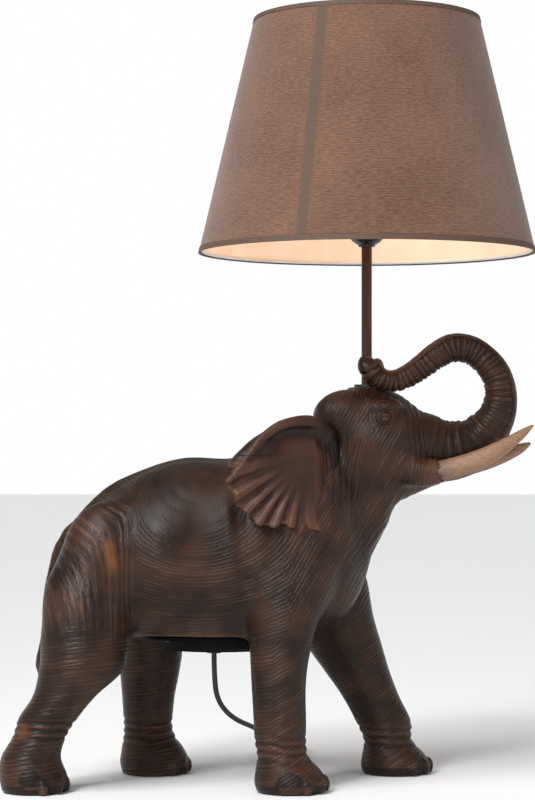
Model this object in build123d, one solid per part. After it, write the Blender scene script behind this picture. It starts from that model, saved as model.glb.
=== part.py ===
from build123d import *
import math
import os

os.makedirs("parts", exist_ok=True)

# A table lamp whose base is a resin elephant, standing and facing +X, with its right side to -Y.
# The origin is on the table, under the middle of the object's box. Millimetres throughout.

# --- driving sizes: the elephant ---
skull_height = 377.0  # sole to the flat on the skull
elephant_length = 504.0  # hind sole to tusk tip
wall = 8.0  # thickness of the hollow casting
skull_wall = 9.0  # thickness under the pole's flange
pad_r = 22.0
pad_thick = 2.0
tusk_r = 9.2  # where a tusk leaves its socket
ear_thick = 7.0
ear_flare = 24.0  # degrees that an ear stands off the neck

# --- driving sizes: the lamp ---
pole_r = 5.0
pole_wall = 1.6
pole_drop = 23.0  # how far the pole reaches into the skull
flange_r = 12.0
flange_thick = 2.6
washer_r = 10.5
washer_thick = 1.6
nut_flats = 14.0
nut_thick = 5.0
holder_bottom = 511.0  # underside of the lampholder's dome
holder_r = 20.0
holder_wall = 2.4
collar_wall = 3.0  # of the dome's collar round the pole
collar_height = 9.0
dome_skirt = 6.0  # straight stretch above the dome's half round
barrel_seat = 3.0  # thickness of the barrel's foot
barrel_bore_gap = 2.6  # between the bulb's cap and the barrel
core_step = 1.5  # how far the ceramic stands up inside the barrel
shell_thick = 0.5
contact_size = 5.0
grub_r = 1.5
grub_length = 5.5
knob_shaft_r = 2.0
rotor_r = 4.0
thread_r = 19.6  # outside of the holder's threaded barrel
barrel_height = 27.0
flange_out = 4.4  # how far the barrel's seat stands out past its thread
cap_r = 13.2  # the bulb's screw cap
cap_height = 25.0
globe_r = 30.0
bulb_length = 108.0
glass_wall = 0.9
shade_bottom = 505.0
shade_height = 223.0
shade_bottom_r = 161.0
shade_top_r = 108.0
fabric_thick = 0.8
liner_thick = 0.5
trim_thick = 0.6
bottom_trim_height = 5.0
top_trim_height = 4.0
ring_wire_r = 1.5
arm_count = 3
seam_width = 11.0
seam_thick = 0.5
near_seam_angle = -114.0  # degrees round the pole from +X
far_seam_angle = 72.0

# --- driving sizes: the pan under the belly and the lead ---
belly_height = 141.0  # the flat on the belly that the pan closes
pan_x = -51.0
pan_rx = 70.0
pan_ry = 50.0
pan_flange = 3.0
pan_depth = 14.5  # underside of the flat to the bottom of the dish
pan_wall = 2.4
opening_rx = 54.0
opening_ry = 35.0
screw_r = 1.7
screw_head_r = 2.6
screw_head = 1.6
screw_bite = 6.0  # how far the pan's screws go into the casting
screw_in = 4.0  # from the pan's edge to its screws
dish_step = 8.0  # from the pan's edge to its dish
cord_r = 2.5
bush_r = 5.0
bush_lip = 2.0
bush_lip_out = 2.0
grip_block = (14.0, 12.0, 9.0)
grip_screw_r = 1.4
grip_screw_length = 6.5

sides = 20  # facets round the body and legs
limb_sides = 14  # facets round the trunk and tail
dish_sides = 36  # facets round the pan's dish
standing = (Align.CENTER, Align.CENTER, Align.MIN)  # a block that stands on its base

# --- clearances ---
free_gap = 0.3  # between pieces on different bodies
running_gap = 0.05  # a thread or shaft in its hole
seat_gap = 0.4  # a loose piece in its pocket

# --- worked out ---
kx = elephant_length / 504.0
kz = skull_height / 377.0
pole_x = 91.0 * kx
belly_z = belly_height * kz
spring_z = holder_bottom + holder_r  # where the dome meets the barrel
barrel_z = spring_z + dome_skirt
seat_z = barrel_z + barrel_seat
bulb_z = barrel_z + 5.0  # the tip of the bulb's cap
shade_top = shade_bottom + shade_height


def facet(a, b, c):
    return Face(Wire.make_polygon([a, b, c], close=True))


def skin(rings):
    """A closed solid over flat rings of points, with flat three-sided faces between them."""
    faces = [Face(Wire.make_polygon(ring, close=True)) for ring in (rings[0], rings[-1])]
    for low, high in zip(rings, rings[1:]):
        for i in range(len(low)):
            j = (i + 1) % len(low)
            faces += [facet(low[i], low[j], high[j]), facet(low[i], high[j], high[i])]
    return Solid(Shell(faces))


def turns(count):
    return [(math.cos(2 * math.pi * i / count), math.sin(2 * math.pi * i / count)) for i in range(count)]


def upright(sections):
    """A limb along Z from rows of height, centre x and y, and half-widths in x and y."""
    return skin(
        [
            [((x + rx * c) * kx, y + ry * s, z * kz) for c, s in turns(sides)]
            for z, x, y, rx, ry in sections
        ]
    )


def lengthwise(sections, inset=0.0):
    """A trunk of the body along X from rows of x, middle height, half-height and half-width."""
    return skin(
        [
            [(x * kx, (half_y - inset) * c, z * kz + (half_z * kz - inset) * s) for c, s in turns(sides)]
            for x, z, half_z, half_y in sections
        ]
    )


def egg(x, y, z, rx, ry, rz, inset=0.0):
    """An ellipsoid of flat faces, with a small flat at each end of its length."""
    rings = []
    for i in range(9):
        lean = math.radians(-80 + 20 * i)
        ring_y, ring_z = (ry - inset) * math.cos(lean), (rz * kz - inset) * math.cos(lean)
        ring_x = x * kx + (rx * kx - inset) * math.sin(lean)
        rings.append([(ring_x, y + ring_y * c, z * kz + ring_z * s) for c, s in turns(sides)])
    return skin(rings)


def along(points, radii):
    """A round limb through points, each with its radius."""
    rings = []
    for i, (p, r) in enumerate(zip(points, radii)):
        way = Vector(*points[min(i + 1, len(points) - 1)]) - Vector(*points[max(i - 1, 0)])
        across = way.cross(Vector(0, 1, 0)).normalized()
        up = across.cross(way).normalized()
        rings.append([Vector(*p) + across * (r * c) + up * (r * s) for c, s in turns(limb_sides)])
    return skin(rings)


def scaled(points):
    return [(x * kx, y, z * kz) for x, y, z in points]


def turned(profile, x, y=0.0):
    """A solid of revolution about the upright line at x, y, from a profile of radius and height."""
    face = make_face(Plane.XZ * Polyline(*profile, close=True))
    return Pos(x, y, 0) * revolve(face, Axis.Z)


def cylinder(x, y, z_low, z_high, r):
    return Pos(x, y, z_low) * Cylinder(r, z_high - z_low, align=standing)


def oval(x, z_low, z_high, rx, ry):
    """An upright oval block."""
    return Pos(x, 0, z_low) * extrude(Ellipse(rx, ry), z_high - z_low)


def save(name, *shapes):
    solids = [solid for shape in shapes for solid in shape.solids()]
    whole = solids[0] if len(solids) == 1 else Compound(children=solids)
    export_step(whole, f"parts/{name}.step")


# ------------------------------------------------------------------ the elephant
torso = [
    (-207, 184, 30, 24),
    (-193, 186, 60, 47),
    (-165, 195, 76, 64),
    (-130, 208, 85, 73),
    (-85, 223, 84, 76),
    (-40, 225, 83, 76),
    (5, 230, 90, 73),
    (45, 235, 92, 64),
    (75, 232, 72, 48),
    (89, 222, 42, 28),
]
torso_cavity = [row for row in torso if -200 < row[0] < 80]
near_fore = [
    (1, 17.5, -65, 29, 28),
    (8, 17.7, -65, 34, 32),
    (20, 15.5, -65, 30.5, 30),
    (33, 10.5, -64, 23.5, 25),
    (65, 8.5, -63, 22.8, 24),
    (110, 7.5, -62, 24.5, 25),
    (150, 10, -58, 31, 28),
    (205, 17, -46, 41, 31),
    (232, 22, -38, 30, 24),
    (250, 26, -32, 14, 12),
]
near_hind = [
    (1, -220.5, -65, 26, 26),
    (13, -220.8, -65, 31.3, 31),
    (33, -223, -65, 27.5, 27),
    (50, -216, -64, 25, 25),
    (68, -208.5, -63, 26.3, 25),
    (88, -194, -62, 27.5, 28),
    (112, -180, -61, 34.5, 31),
    (150, -176, -56, 38, 34),
    (205, -163, -46, 42, 29),
    (232, -152, -40, 30, 22),
    (248, -146, -34, 14, 11),
]
far_hind = [
    (1, -115, 64, 29, 28),
    (12, -114.6, 65, 33.8, 32),
    (23, -116, 64, 31, 30),
    (36, -118.6, 63, 24.5, 25),
    (70, -120, 62, 23.8, 24),
    (98, -118, 62, 26, 26),
    (122, -118, 60, 31, 29),
    (150, -128, 55, 38, 33),
    (205, -142, 46, 43, 29),
    (232, -140, 40, 30, 22),
    (248, -138, 34, 14, 11),
]
far_fore = [
    (1, 121, 64, 29, 28),
    (8, 122, 65, 34, 32),
    (20, 119.5, 64, 30, 30),
    (31, 115, 63, 24.5, 25),
    (50, 111, 62, 26, 25),
    (77, 97.5, 62, 26.5, 26),
    (102, 84, 60, 30.5, 29),
    (124, 73, 57, 35, 31),
    (150, 63, 52, 38, 32),
    (205, 48, 43, 40, 28),
    (232, 44, 37, 28, 22),
    (250, 42, 32, 14, 11),
]
legs = [upright(rows) for rows in (near_fore, near_hind, far_hind, far_fore)]
sole_centres = [(rows[0][1] * kx, rows[0][2]) for rows in (near_fore, near_hind, far_hind, far_fore)]

trunk_points = scaled(
    [
        (138, 0, 322),
        (166, -1, 316),
        (190, -3, 321),
        (207, -5, 336),
        (217, -7, 354),
        (218.8, -8, 373),
        (213, -9, 391),
        (202, -10, 404),
        (188, -10, 413),
        (173, -10, 414.5),
        (158, -11, 407.5),
        (144, -12, 397),
        (130, -13.5, 388),
        (116, -15.5, 384),
        (105, -17.5, 387.5),
        (97, -18, 395),
        (94.5, -18, 404),
    ]
)
trunk_radii = [32, 28, 23.5, 19.5, 16.5, 15, 14.2, 13.4, 13, 12.8, 12, 11, 10.5, 10, 10.2, 10.8, 11.5]
trunk = along(trunk_points, trunk_radii)

ear_outline = [
    (60, 250),
    (62, 300),
    (50, 332),
    (20, 343),
    (-8, 331),
    (-30, 306),
    (-44, 284),
    (-30, 262),
    (-5, 248),
    (25, 241),
    (50, 243),
]


def ear(side):
    """A flat flap that leaves the cheek and stands off the shoulder, on side -1 (right) or 1 (left)."""
    outline = [(x * kx, z * kz) for x, z in ear_outline]
    face = make_face(Plane.XZ * Polyline(*outline, close=True))
    flap = extrude(face, ear_thick / 2, both=True)
    hinge_x = 58 * kx
    return Pos(hinge_x, side * 52, 0) * Rot(0, 0, -side * ear_flare) * Pos(-hinge_x, 0, 0) * flap


ears = [ear(-1), ear(1)]
tail_points = scaled(
    [
        (-205, 0, 222),
        (-213, 0, 205),
        (-217, -3, 180),
        (-218, -7, 150),
        (-220, -10, 128),
        (-219, -10, 113),
    ]
)
tail = along(tail_points, [8, 7, 5.5, 5, 6.5, 2.5])
neck_size = (28, 0, 283, 62, 56, 60)
head_size = (98, 0, 322, 55, 47, 56)
neck = egg(*neck_size)
head = egg(*head_size)
jaw = egg(126, 0, 300, 34, 27, 26)
belly_flat = oval(pan_x * kx, belly_z, belly_z + 45 * kz, pan_rx + 2, pan_ry + 2)

right_tusk_points = scaled(
    [
        (132, -30, 290),
        (156, -36, 297),
        (181, -39, 304),
        (206, -40, 314),
        (229, -40, 327.5),
        (246, -39, 340),
    ]
)
left_tusk_points = scaled(
    [
        (136, 30, 285),
        (160, 34, 291),
        (186, 36, 296),
        (212, 36, 304),
        (236, 35, 315.5),
        (251.3, 33, 326),
    ]
)
tusk_radii = [tusk_r, tusk_r, tusk_r * 0.95, tusk_r * 0.82, tusk_r * 0.6, 1.2]
right_tusk = along(right_tusk_points, tusk_radii)
left_tusk = along(left_tusk_points, tusk_radii)

casting = lengthwise(torso)
for piece in [neck, head, jaw, trunk, tail] + legs + ears:
    casting += piece
under_belly = oval(pan_x * kx, belly_z - 30, belly_z, pan_rx + 1.5, pan_ry + 1.5)
casting = casting + belly_flat - under_belly

seat_low = skull_height - skull_wall
cavity = lengthwise(torso_cavity, wall)
cavity += egg(*neck_size, wall)
cavity += egg(*head_size, skull_wall)
cavity -= Pos(pole_x, 0, seat_low + 20) * Box(120, 120, 40)
cavity += cylinder(pole_x, 0, seat_low - 30, seat_low, washer_r + 3)
cavity += oval(pan_x * kx, belly_z - 1, belly_z + 40 * kz, opening_rx, opening_ry)
casting -= cavity
casting -= cylinder(pole_x, 0, skull_height, skull_height + flange_thick + 2, flange_r + 1.5)
casting -= cylinder(pole_x, 0, seat_low - 2, skull_height + 2, pole_r)
casting -= cylinder(pole_x, 0, skull_height, skull_height + 60, pole_r + 1.2)
casting = casting - right_tusk - left_tusk
pads = []
for x, y in sole_centres:
    casting -= cylinder(x, y, -1, pad_thick, pad_r + seat_gap)
    pads.append(cylinder(x, y, 0, pad_thick, pad_r))
casting = casting.solids().sort_by(lambda solid: solid.volume)[-1]
save("right_tusk", right_tusk)
save("left_tusk", left_tusk)
save("foot_pads", *pads)

# ------------------------------------------------------------------ the pole and its fixings
pole_bottom = skull_height - pole_drop
entry_top = holder_bottom + collar_height
pole = cylinder(pole_x, 0, pole_bottom, entry_top - 1, pole_r)
pole -= cylinder(pole_x, 0, pole_bottom - 1, entry_top, pole_r - pole_wall)
save("pole", pole)


def ring(z_low, z_high, r_in, r_out):
    """A flat ring round the pole."""
    return cylinder(pole_x, 0, z_low, z_high, r_out) - cylinder(pole_x, 0, z_low - 1, z_high + 1, r_in)


save("head_flange", ring(skull_height, skull_height + flange_thick, pole_r, flange_r))
save("lower_washer", ring(seat_low - washer_thick, seat_low, pole_r, washer_r))
nut_top = seat_low - washer_thick
hexagon = extrude(RegularPolygon(nut_flats / 2, 6, major_radius=False), -nut_thick)
lower_nut = Pos(pole_x, 0, nut_top) * hexagon - cylinder(pole_x, 0, nut_top - 9, nut_top + 1, pole_r)
save("lower_nut", lower_nut)

# ------------------------------------------------------------------ the lampholder
inner_r = holder_r - holder_wall
dome = Pos(pole_x, 0, spring_z) * Sphere(holder_r)
dome -= cylinder(pole_x, 0, spring_z, spring_z + holder_r + 1, holder_r + 1)
dome += cylinder(pole_x, 0, spring_z, barrel_z, holder_r)
dome -= Pos(pole_x, 0, spring_z) * Sphere(inner_r)
dome -= cylinder(pole_x, 0, spring_z, barrel_z + 1, inner_r)
dome += cylinder(pole_x, 0, holder_bottom, entry_top, pole_r + collar_wall)
dome -= cylinder(pole_x, 0, holder_bottom - 3, holder_bottom, holder_r)
dome -= cylinder(pole_x, 0, holder_bottom - 1, entry_top + 1, pole_r)
knob_z = spring_z - 5.0
knob_turn = Pos(pole_x, 0, knob_z) * Rot(0, 90, 0)
dome -= knob_turn * Cylinder(knob_shaft_r + running_gap, 3 * holder_r, align=standing)
grub_z = holder_bottom + collar_height / 2 + 0.5
grub_way = Pos(pole_x, 0, grub_z) * Rot(-90, 0, 0)
grub = grub_way * Pos(0, 0, pole_r + 0.1) * Cylinder(grub_r, grub_length, align=standing)
dome -= grub_way * Cylinder(grub_r, 1.5 * holder_r, align=standing)
save("lampholder_dome", dome)
save("dome_grub_screw", grub)

seat_r = thread_r + flange_out
barrel_top = seat_z + barrel_height
barrel_inner_r = cap_r + barrel_bore_gap
barrel = cylinder(pole_x, 0, barrel_z, seat_z, seat_r) + cylinder(pole_x, 0, barrel_z, barrel_top, thread_r)
barrel -= cylinder(pole_x, 0, barrel_z - 1, barrel_top + 1, barrel_inner_r)
save("lampholder_barrel", barrel)

shell_r = cap_r + free_gap
core_r = inner_r - seat_gap
core_low = spring_z + 1.5
core_top = barrel_z + core_step
core = cylinder(pole_x, 0, core_low, barrel_z, core_r) + cylinder(pole_x, 0, barrel_z, core_top, shell_r)
terminal_places = [(pole_x - 9, -8), (pole_x - 9, 8)]
terminal_r = 1.6
for x, y in terminal_places:
    core -= cylinder(x, y, core_low - 1, core_low + 4, terminal_r)
save("holder_core", core)
terminals = [cylinder(x, y, core_low - 1.5, core_low + 4, terminal_r) for x, y in terminal_places]
save("terminal_screws", *terminals)
save("screw_shell", ring(core_top, barrel_top - 3, shell_r, shell_r + shell_thick))
tongue = Pos(pole_x, 0, core_top) * Box(contact_size, contact_size, 0.5, align=standing)
tongue += cylinder(pole_x, 0, core_top, bulb_z - free_gap, 2.2)
save("centre_contact", tongue)

# the switch: a knob on a shaft through the dome's side, with its rotor inside
shaft_low = 8.5
shaft_high = holder_r + 4.0
rotor_thick = 3.5


def on_shaft(out, shape):
    """A shape placed along the switch's shaft, out from the pole's line."""
    return knob_turn * Pos(0, 0, out) * shape


knob = on_shaft(shaft_low, Cylinder(knob_shaft_r, shaft_high - shaft_low, align=standing))
knob += on_shaft(shaft_low, Cylinder(rotor_r, rotor_thick, align=standing))
knob += on_shaft(shaft_high - 1, Cylinder(3.2, 5, align=standing))
knob += on_shaft(shaft_high + 3, Box(10, 3.2, 11, align=standing))
save("switch_knob", knob)
brush_z = knob_z + rotor_r + free_gap
brush_x = pole_x + shaft_low + rotor_thick / 2
brush = Pos(brush_x, 0, brush_z) * Box(2.4, 4, core_low - brush_z, align=standing)
save("switch_contact", brush)

# ------------------------------------------------------------------ the bulb
tip_height = 1.5
cap_wall = 0.6
cap_low = bulb_z + tip_height
cap_top = cap_low + cap_height
bulb_cap = cylinder(pole_x, 0, cap_low, cap_top, cap_r)
bulb_cap -= cylinder(pole_x, 0, cap_low + 1.5, cap_top + 1, cap_r - cap_wall)
save("bulb_cap", bulb_cap)
save("bulb_contact", cylinder(pole_x, 0, bulb_z, cap_low, 4.0))
globe_z = bulb_z + bulb_length - globe_r
neck_r = cap_r - 0.9


def bulb_profile(inset):
    """The glass as radius and height, from the cap's neck up round the globe to its crown."""
    points = [(neck_r - inset, cap_top - 6), (neck_r - inset, cap_top + 2), (neck_r + 3 - inset, cap_top + 9)]
    for i in range(9):
        lean = math.radians(-38 + 16 * i)
        points.append(((globe_r - inset) * math.cos(lean), globe_z + (globe_r - inset) * math.sin(lean)))
    return points + [(0, globe_z + globe_r - inset)]


outside = bulb_profile(0)
inside = bulb_profile(glass_wall)
save("bulb_glass", turned(outside + inside[::-1], pole_x))
stem_top = globe_z - 14
foot_z = cap_top - 8
stem = [(0, foot_z), (9, foot_z), (9, foot_z + 3), (4, cap_top + 2), (2.2, stem_top), (0, stem_top)]
save("bulb_stem", turned(stem, pole_x))
filament_r = 0.8
filament_ring_r = 9.0
spreader_thick = 1.2
spoke = (17.0, 1.4, spreader_thick)
filament_places = [(pole_x + filament_ring_r * c, filament_ring_r * s) for c, s in turns(4)]
filaments = [cylinder(x, y, stem_top - 16, stem_top + 22, filament_r) for x, y in filament_places]
spreader = ring(stem_top, stem_top + spreader_thick, 8.2, 10.5)
hub = Pos(pole_x, 0, stem_top) * Box(*spoke, align=standing)
hub += Pos(pole_x, 0, stem_top) * Rot(0, 0, 90) * Box(*spoke, align=standing)
for x, y in filament_places:
    hole = cylinder(x, y, stem_top - 1, stem_top + 3, filament_r)
    spreader -= hole
    hub -= hole
save("bulb_filaments", *filaments)
save("filament_spreader", spreader + hub)

# ------------------------------------------------------------------ the shade
slope = (shade_top_r - shade_bottom_r) / shade_height


def shade_r(z):
    """The fabric's outside radius at a height."""
    return shade_bottom_r - trim_thick + (z - shade_bottom) * slope


def band(z_low, z_high, outer, thick):
    """A thin conical band; outer is how far its outside stands from the fabric's outside."""
    r_low, r_high = shade_r(z_low) + outer, shade_r(z_high) + outer
    return turned([(r_low, z_low), (r_high, z_high), (r_high - thick, z_high), (r_low - thick, z_low)], pole_x)


save("shade_fabric", band(shade_bottom, shade_top, 0, fabric_thick))
save("shade_liner", band(shade_bottom + 0.5, shade_top - 0.5, -fabric_thick, liner_thick))
save("bottom_trim", band(shade_bottom, shade_bottom + bottom_trim_height, trim_thick, trim_thick))
save("top_trim", band(shade_top - top_trim_height, shade_top, trim_thick, trim_thick))


def seam(angle):
    """A straight flat seam up the fabric, between the trims."""
    low, high = shade_bottom + bottom_trim_height + 0.3, shade_top - top_trim_height - 0.3
    strip = Pos(pole_x, 0, (low + high) / 2) * Rot(0, 0, angle) * Pos(shade_bottom_r / 2 + 20, 0, 0)
    return band(low, high, seam_thick, seam_thick) & (strip * Box(shade_bottom_r, seam_width, high - low))


save("fabric_seams", seam(near_seam_angle), seam(far_seam_angle))

wire_inset = fabric_thick + liner_thick + ring_wire_r + 0.2
top_wire_z = shade_top - ring_wire_r - 1.5
bottom_wire_z = shade_bottom + ring_wire_r + 1.0
top_wire_r = shade_r(top_wire_z) - wire_inset
bottom_wire_r = shade_r(bottom_wire_z) - wire_inset
save("bottom_ring", Pos(pole_x, 0, bottom_wire_z) * Torus(bottom_wire_r, ring_wire_r))
eye_thick = 1.5
eye_low = seat_z + free_gap
eye_high = eye_low + eye_thick
eye_r = seat_r + 2.5
eye = ring(eye_low, eye_high, thread_r + 2 * free_gap, eye_r)
top_ring = Pos(pole_x, 0, top_wire_z) * Torus(top_wire_r, ring_wire_r)
save("top_ring", top_ring)
arm_r = ring_wire_r - 0.1
frame = eye
for i in range(arm_count):
    angle = math.radians(90 + 360 * i / arm_count)
    out = Vector(math.cos(angle), math.sin(angle), 0)
    foot = Vector(pole_x, 0, (eye_low + eye_high) / 2 + 0.3) + out * (eye_r - 1)
    tip = Vector(pole_x, 0, top_wire_z) + out * (top_wire_r - 0.3)
    frame += Solid.make_cylinder(arm_r, (tip - foot).length, Plane(origin=foot, z_dir=tip - foot))
frame = frame - cylinder(pole_x, 0, eye_low - 5, eye_low, eye_r + 5) - top_ring
save("shade_frame", frame)

# the threaded ring that clamps the frame's eye
clamp_low = eye_high + free_gap
clamp_high = clamp_low + 7.0
clamp = ring(clamp_low, clamp_high, thread_r + running_gap, seat_r - 1.5)
grip_count = 18
groove_r = 1.1
groove_at = seat_r - 1.2
for c, s in turns(grip_count):
    clamp -= cylinder(pole_x + groove_at * c, groove_at * s, clamp_low - 1, clamp_high + 1, groove_r)
save("shade_ring", clamp)

# ------------------------------------------------------------------ the pan under the belly
pan_cx = pan_x * kx
dish_low = belly_z - pan_depth
flange_low = belly_z - pan_flange
dish_rx = pan_rx - dish_step
dish_ry = pan_ry - dish_step


def dish(inset, top, bottom):
    """A shallow tapering oval bowl between two heights."""
    rings = []
    for rise, share in [(0, 0.74), (0.35, 0.88), (1, 1)]:
        rx, ry = dish_rx * share - inset, dish_ry * share - inset
        rings.append([(pan_cx + rx * c, ry * s, bottom + (top - bottom) * rise) for c, s in turns(dish_sides)])
    return skin(rings)


pan = oval(pan_cx, flange_low, belly_z, pan_rx, pan_ry) + dish(0, flange_low, dish_low)
pan -= dish(pan_wall, flange_low + pan_wall, dish_low + pan_wall)
pan -= oval(pan_cx, flange_low + 0.5, belly_z + 1, dish_rx - pan_wall, dish_ry - pan_wall)
bush_x = -54.5
bush_y = -10.0
pan -= cylinder(bush_x, bush_y, dish_low - 1, dish_low + pan_wall + 1, bush_r)
head_low = flange_low - screw_head
screw_top = belly_z + screw_bite
screws = []
for c, s in turns(8)[1::2]:
    x, y = pan_cx + (pan_rx - screw_in) * c, (pan_ry - screw_in) * s
    pan -= cylinder(x, y, flange_low - 1, belly_z + 1, screw_r)
    casting -= cylinder(x, y, belly_z - 1, screw_top, screw_r)
    shank = cylinder(x, y, head_low, screw_top, screw_r)
    screws.append(shank + cylinder(x, y, head_low, flange_low, screw_head_r))
save("elephant_casting", casting)
save("belly_pan", pan)
save("pan_screws", *screws)

bush_low = dish_low - bush_lip
bush_high = dish_low + pan_wall + bush_lip
bush = cylinder(bush_x, bush_y, bush_low, bush_high, bush_r)
for low, high in [(bush_low, dish_low), (dish_low + pan_wall, bush_high)]:
    bush += cylinder(bush_x, bush_y, low, high, bush_r + bush_lip_out)
bush -= cylinder(bush_x, bush_y, bush_low - 1, bush_high + 1, cord_r)
save("cord_bush", bush)
grip_low = bush_high
grip = Pos(bush_x, bush_y, grip_low) * Box(*grip_block, align=standing)
grip -= cylinder(bush_x, bush_y, grip_low - 1, grip_low + grip_block[2] + 1, cord_r)
grip_turn = Pos(bush_x, bush_y, grip_low + grip_block[2] / 2) * Rot(0, 90, 0)
grip_screw = grip_turn * Pos(0, 0, cord_r + 0.1) * Cylinder(grip_screw_r, grip_screw_length, align=standing)
grip -= grip_turn * Cylinder(grip_screw_r, 2 * grip_block[0], align=standing)
save("cord_grip", grip)
save("grip_screw", grip_screw)

# ------------------------------------------------------------------ the lead


def cord_tube(name, points):
    """A round cord along straight runs joined by arcs as large as the runs allow."""
    route = [Vector(*p) for p in points]
    radii = []
    for before, here, after in zip(route, route[1:], route[2:]):
        turn = math.radians((here - before).get_angle(after - here))
        radii.append(0.45 * min((here - before).length, (after - here).length) / math.tan(turn / 2))
    path = FilletPolyline(*route, radius=radii)
    start = Plane(origin=route[0], z_dir=route[1] - route[0])
    tube = sweep(start * Circle(cord_r), path=path)
    expected = math.pi * cord_r**2 * path.length
    print(name, "length", round(path.length), "radii", [round(r) for r in radii])
    print(name, "volume over section times length", round(tube.volume / expected, 4))
    save(name, tube)
    return path.length


lead_split_z = dish_low + pan_wall / 2
inside_length = cord_tube(
    "internal_lead",
    [
        (bush_x, bush_y, lead_split_z),
        (bush_x, bush_y, 168 * kz),
        (-33 * kx, -6, 204 * kz),
        (4 * kx, -2, 232 * kz),
        (45 * kx, 0, 262 * kz),
        (76 * kx, 0, 298 * kz),
        (pole_x, 0, 336 * kz),
        (pole_x, 0, entry_top - 1),
    ],
)
outside_length = cord_tube(
    "power_cord",
    [
        (bush_x, bush_y, lead_split_z),
        (bush_x, bush_y, 101),
        (-52, 3, 77),
        (-38, 29, 58),
        (-16, 62, 45),
        (-3, 86, 35),
        (5, 108, 27),
        (10, 130, 18),
    ],
)
hank_x = 10.0
hank_low = 1.5
hank_high = 22.5
lobe_r = 19.0
waist = 24.0
near_lobe_y = 112.0 + lobe_r
far_lobe_y = 207.0 - lobe_r
hank = cylinder(hank_x, near_lobe_y, hank_low, hank_high, lobe_r)
hank += cylinder(hank_x, far_lobe_y, hank_low, hank_high, lobe_r)
hank_middle = Pos(hank_x, (near_lobe_y + far_lobe_y) / 2, (hank_low + hank_high) / 2)
hank += hank_middle * Box(waist, far_lobe_y - near_lobe_y, hank_high - hank_low)
save("cord_hank", hank)
tie_thick = 1.2
tie_width = 12.0
tie_hole = (waist + 0.1, tie_width + 2, hank_high - hank_low + 0.1)
tie_block = (tie_hole[0] + 2 * tie_thick, tie_width, tie_hole[2] + 2 * tie_thick)
tie = hank_middle * (Box(*tie_block) - Box(*tie_hole))
save("hank_tie", tie)

plug_z = hank_high + 0.3 + 7.0
plug_y = 187.0
relief_length = 20.0
tail_length = cord_tube(
    "cord_tail",
    [
        (13, 135.5, 20.5),
        (11, 151, plug_z),
        (hank_x, plug_y - relief_length, plug_z),
    ],
)
plug_length = 37.0
relief_face = Plane(origin=(hank_x, plug_y - relief_length, plug_z), x_dir=(1, 0, 0), z_dir=(0, 1, 0))
relief = Solid.make_cone(cord_r + 0.9, 5.5, relief_length, relief_face)
plug_back = relief_face.offset(relief_length) * RectangleRounded(19, 11.5, 3)
plug_front = relief_face.offset(relief_length + plug_length) * RectangleRounded(35, 13.8, 6)
plug_block = loft([plug_back, plug_front])
save("plug_body", relief + plug_block)
pin_r = 2.0
pin_length = 19.0
pin_apart = 19.0
pins = []
for side in (-1, 1):
    face = Plane(origin=(hank_x + side * pin_apart / 2, plug_y + plug_length, plug_z), z_dir=(0, 1, 0))
    pins.append(Solid.make_cylinder(pin_r, pin_length, face))
save("plug_pins", *pins)
print("lead inside", round(inside_length), "outside", round(outside_length), "tail", round(tail_length))
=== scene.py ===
import math

import bmesh
import bpy
import numpy as np
import openvdb
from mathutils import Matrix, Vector


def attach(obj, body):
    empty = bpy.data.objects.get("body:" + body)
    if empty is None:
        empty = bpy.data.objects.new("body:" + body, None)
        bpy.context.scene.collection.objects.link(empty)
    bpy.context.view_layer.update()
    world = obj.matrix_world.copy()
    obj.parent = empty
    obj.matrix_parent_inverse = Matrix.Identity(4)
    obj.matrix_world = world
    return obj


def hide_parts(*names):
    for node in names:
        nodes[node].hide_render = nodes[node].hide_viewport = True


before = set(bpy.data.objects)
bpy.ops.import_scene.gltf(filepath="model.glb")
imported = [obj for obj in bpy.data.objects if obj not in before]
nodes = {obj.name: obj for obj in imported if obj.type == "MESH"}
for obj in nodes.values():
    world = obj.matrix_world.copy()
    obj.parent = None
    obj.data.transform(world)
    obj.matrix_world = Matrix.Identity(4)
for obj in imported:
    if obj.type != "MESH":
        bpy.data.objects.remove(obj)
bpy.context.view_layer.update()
scene = bpy.context.scene
mm = 0.001
lampBody = "lamp"

# camera and lights

cameraPlace = {"x": -0.0037, "y": -2.30, "z": 0.320, "lens": 108.4, "shiftY": 0.0588}
cameraData = bpy.data.cameras.new("camera")
cameraData.lens = cameraPlace["lens"]
cameraData.shift_y = cameraPlace["shiftY"]
cameraData.clip_end = 50
camera = bpy.data.objects.new("camera", cameraData)
camera.location = (cameraPlace["x"], cameraPlace["y"], cameraPlace["z"])
camera.rotation_euler = (math.radians(90), 0, 0)
scene.collection.objects.link(camera)
scene.camera = camera


lights = {  # place, what it aims at, size and watts
    "keyLight": ((-1.2, -2.1, 1.7), (0, 0, 0.3), (0.5, 0.5), 38),
    "fillLight": ((2.2, -1.8, 1.1), (0, 0, 0.3), (1.0, 1.6), 5),
}
for name, (place, aim, size, power) in lights.items():
    data = bpy.data.lights.new(name, "AREA")
    data.shape = "RECTANGLE"
    data.size, data.size_y = size
    data.energy = power
    light = bpy.data.objects.new(name, data)
    light.location = place
    light.rotation_euler = (Vector(aim) - Vector(place)).to_track_quat("-Z", "Y").to_euler()
    scene.collection.objects.link(light)
skyPanel = {"strength": 2.0, "spread": 35, "tilt": (28, -24)}
sunData = bpy.data.lights.new("skyPanel", "SUN")
sunData.energy = skyPanel["strength"]
sunData.angle = math.radians(skyPanel["spread"])
sun = bpy.data.objects.new("skyPanel", sunData)
sun.rotation_euler = (*[math.radians(angle) for angle in skyPanel["tilt"]], 0)
scene.collection.objects.link(sun)
world = bpy.data.worlds.new("studio")
world.use_nodes = True
sky = world.node_tree.nodes
skyPlace = sky.new("ShaderNodeTexCoord")
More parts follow.
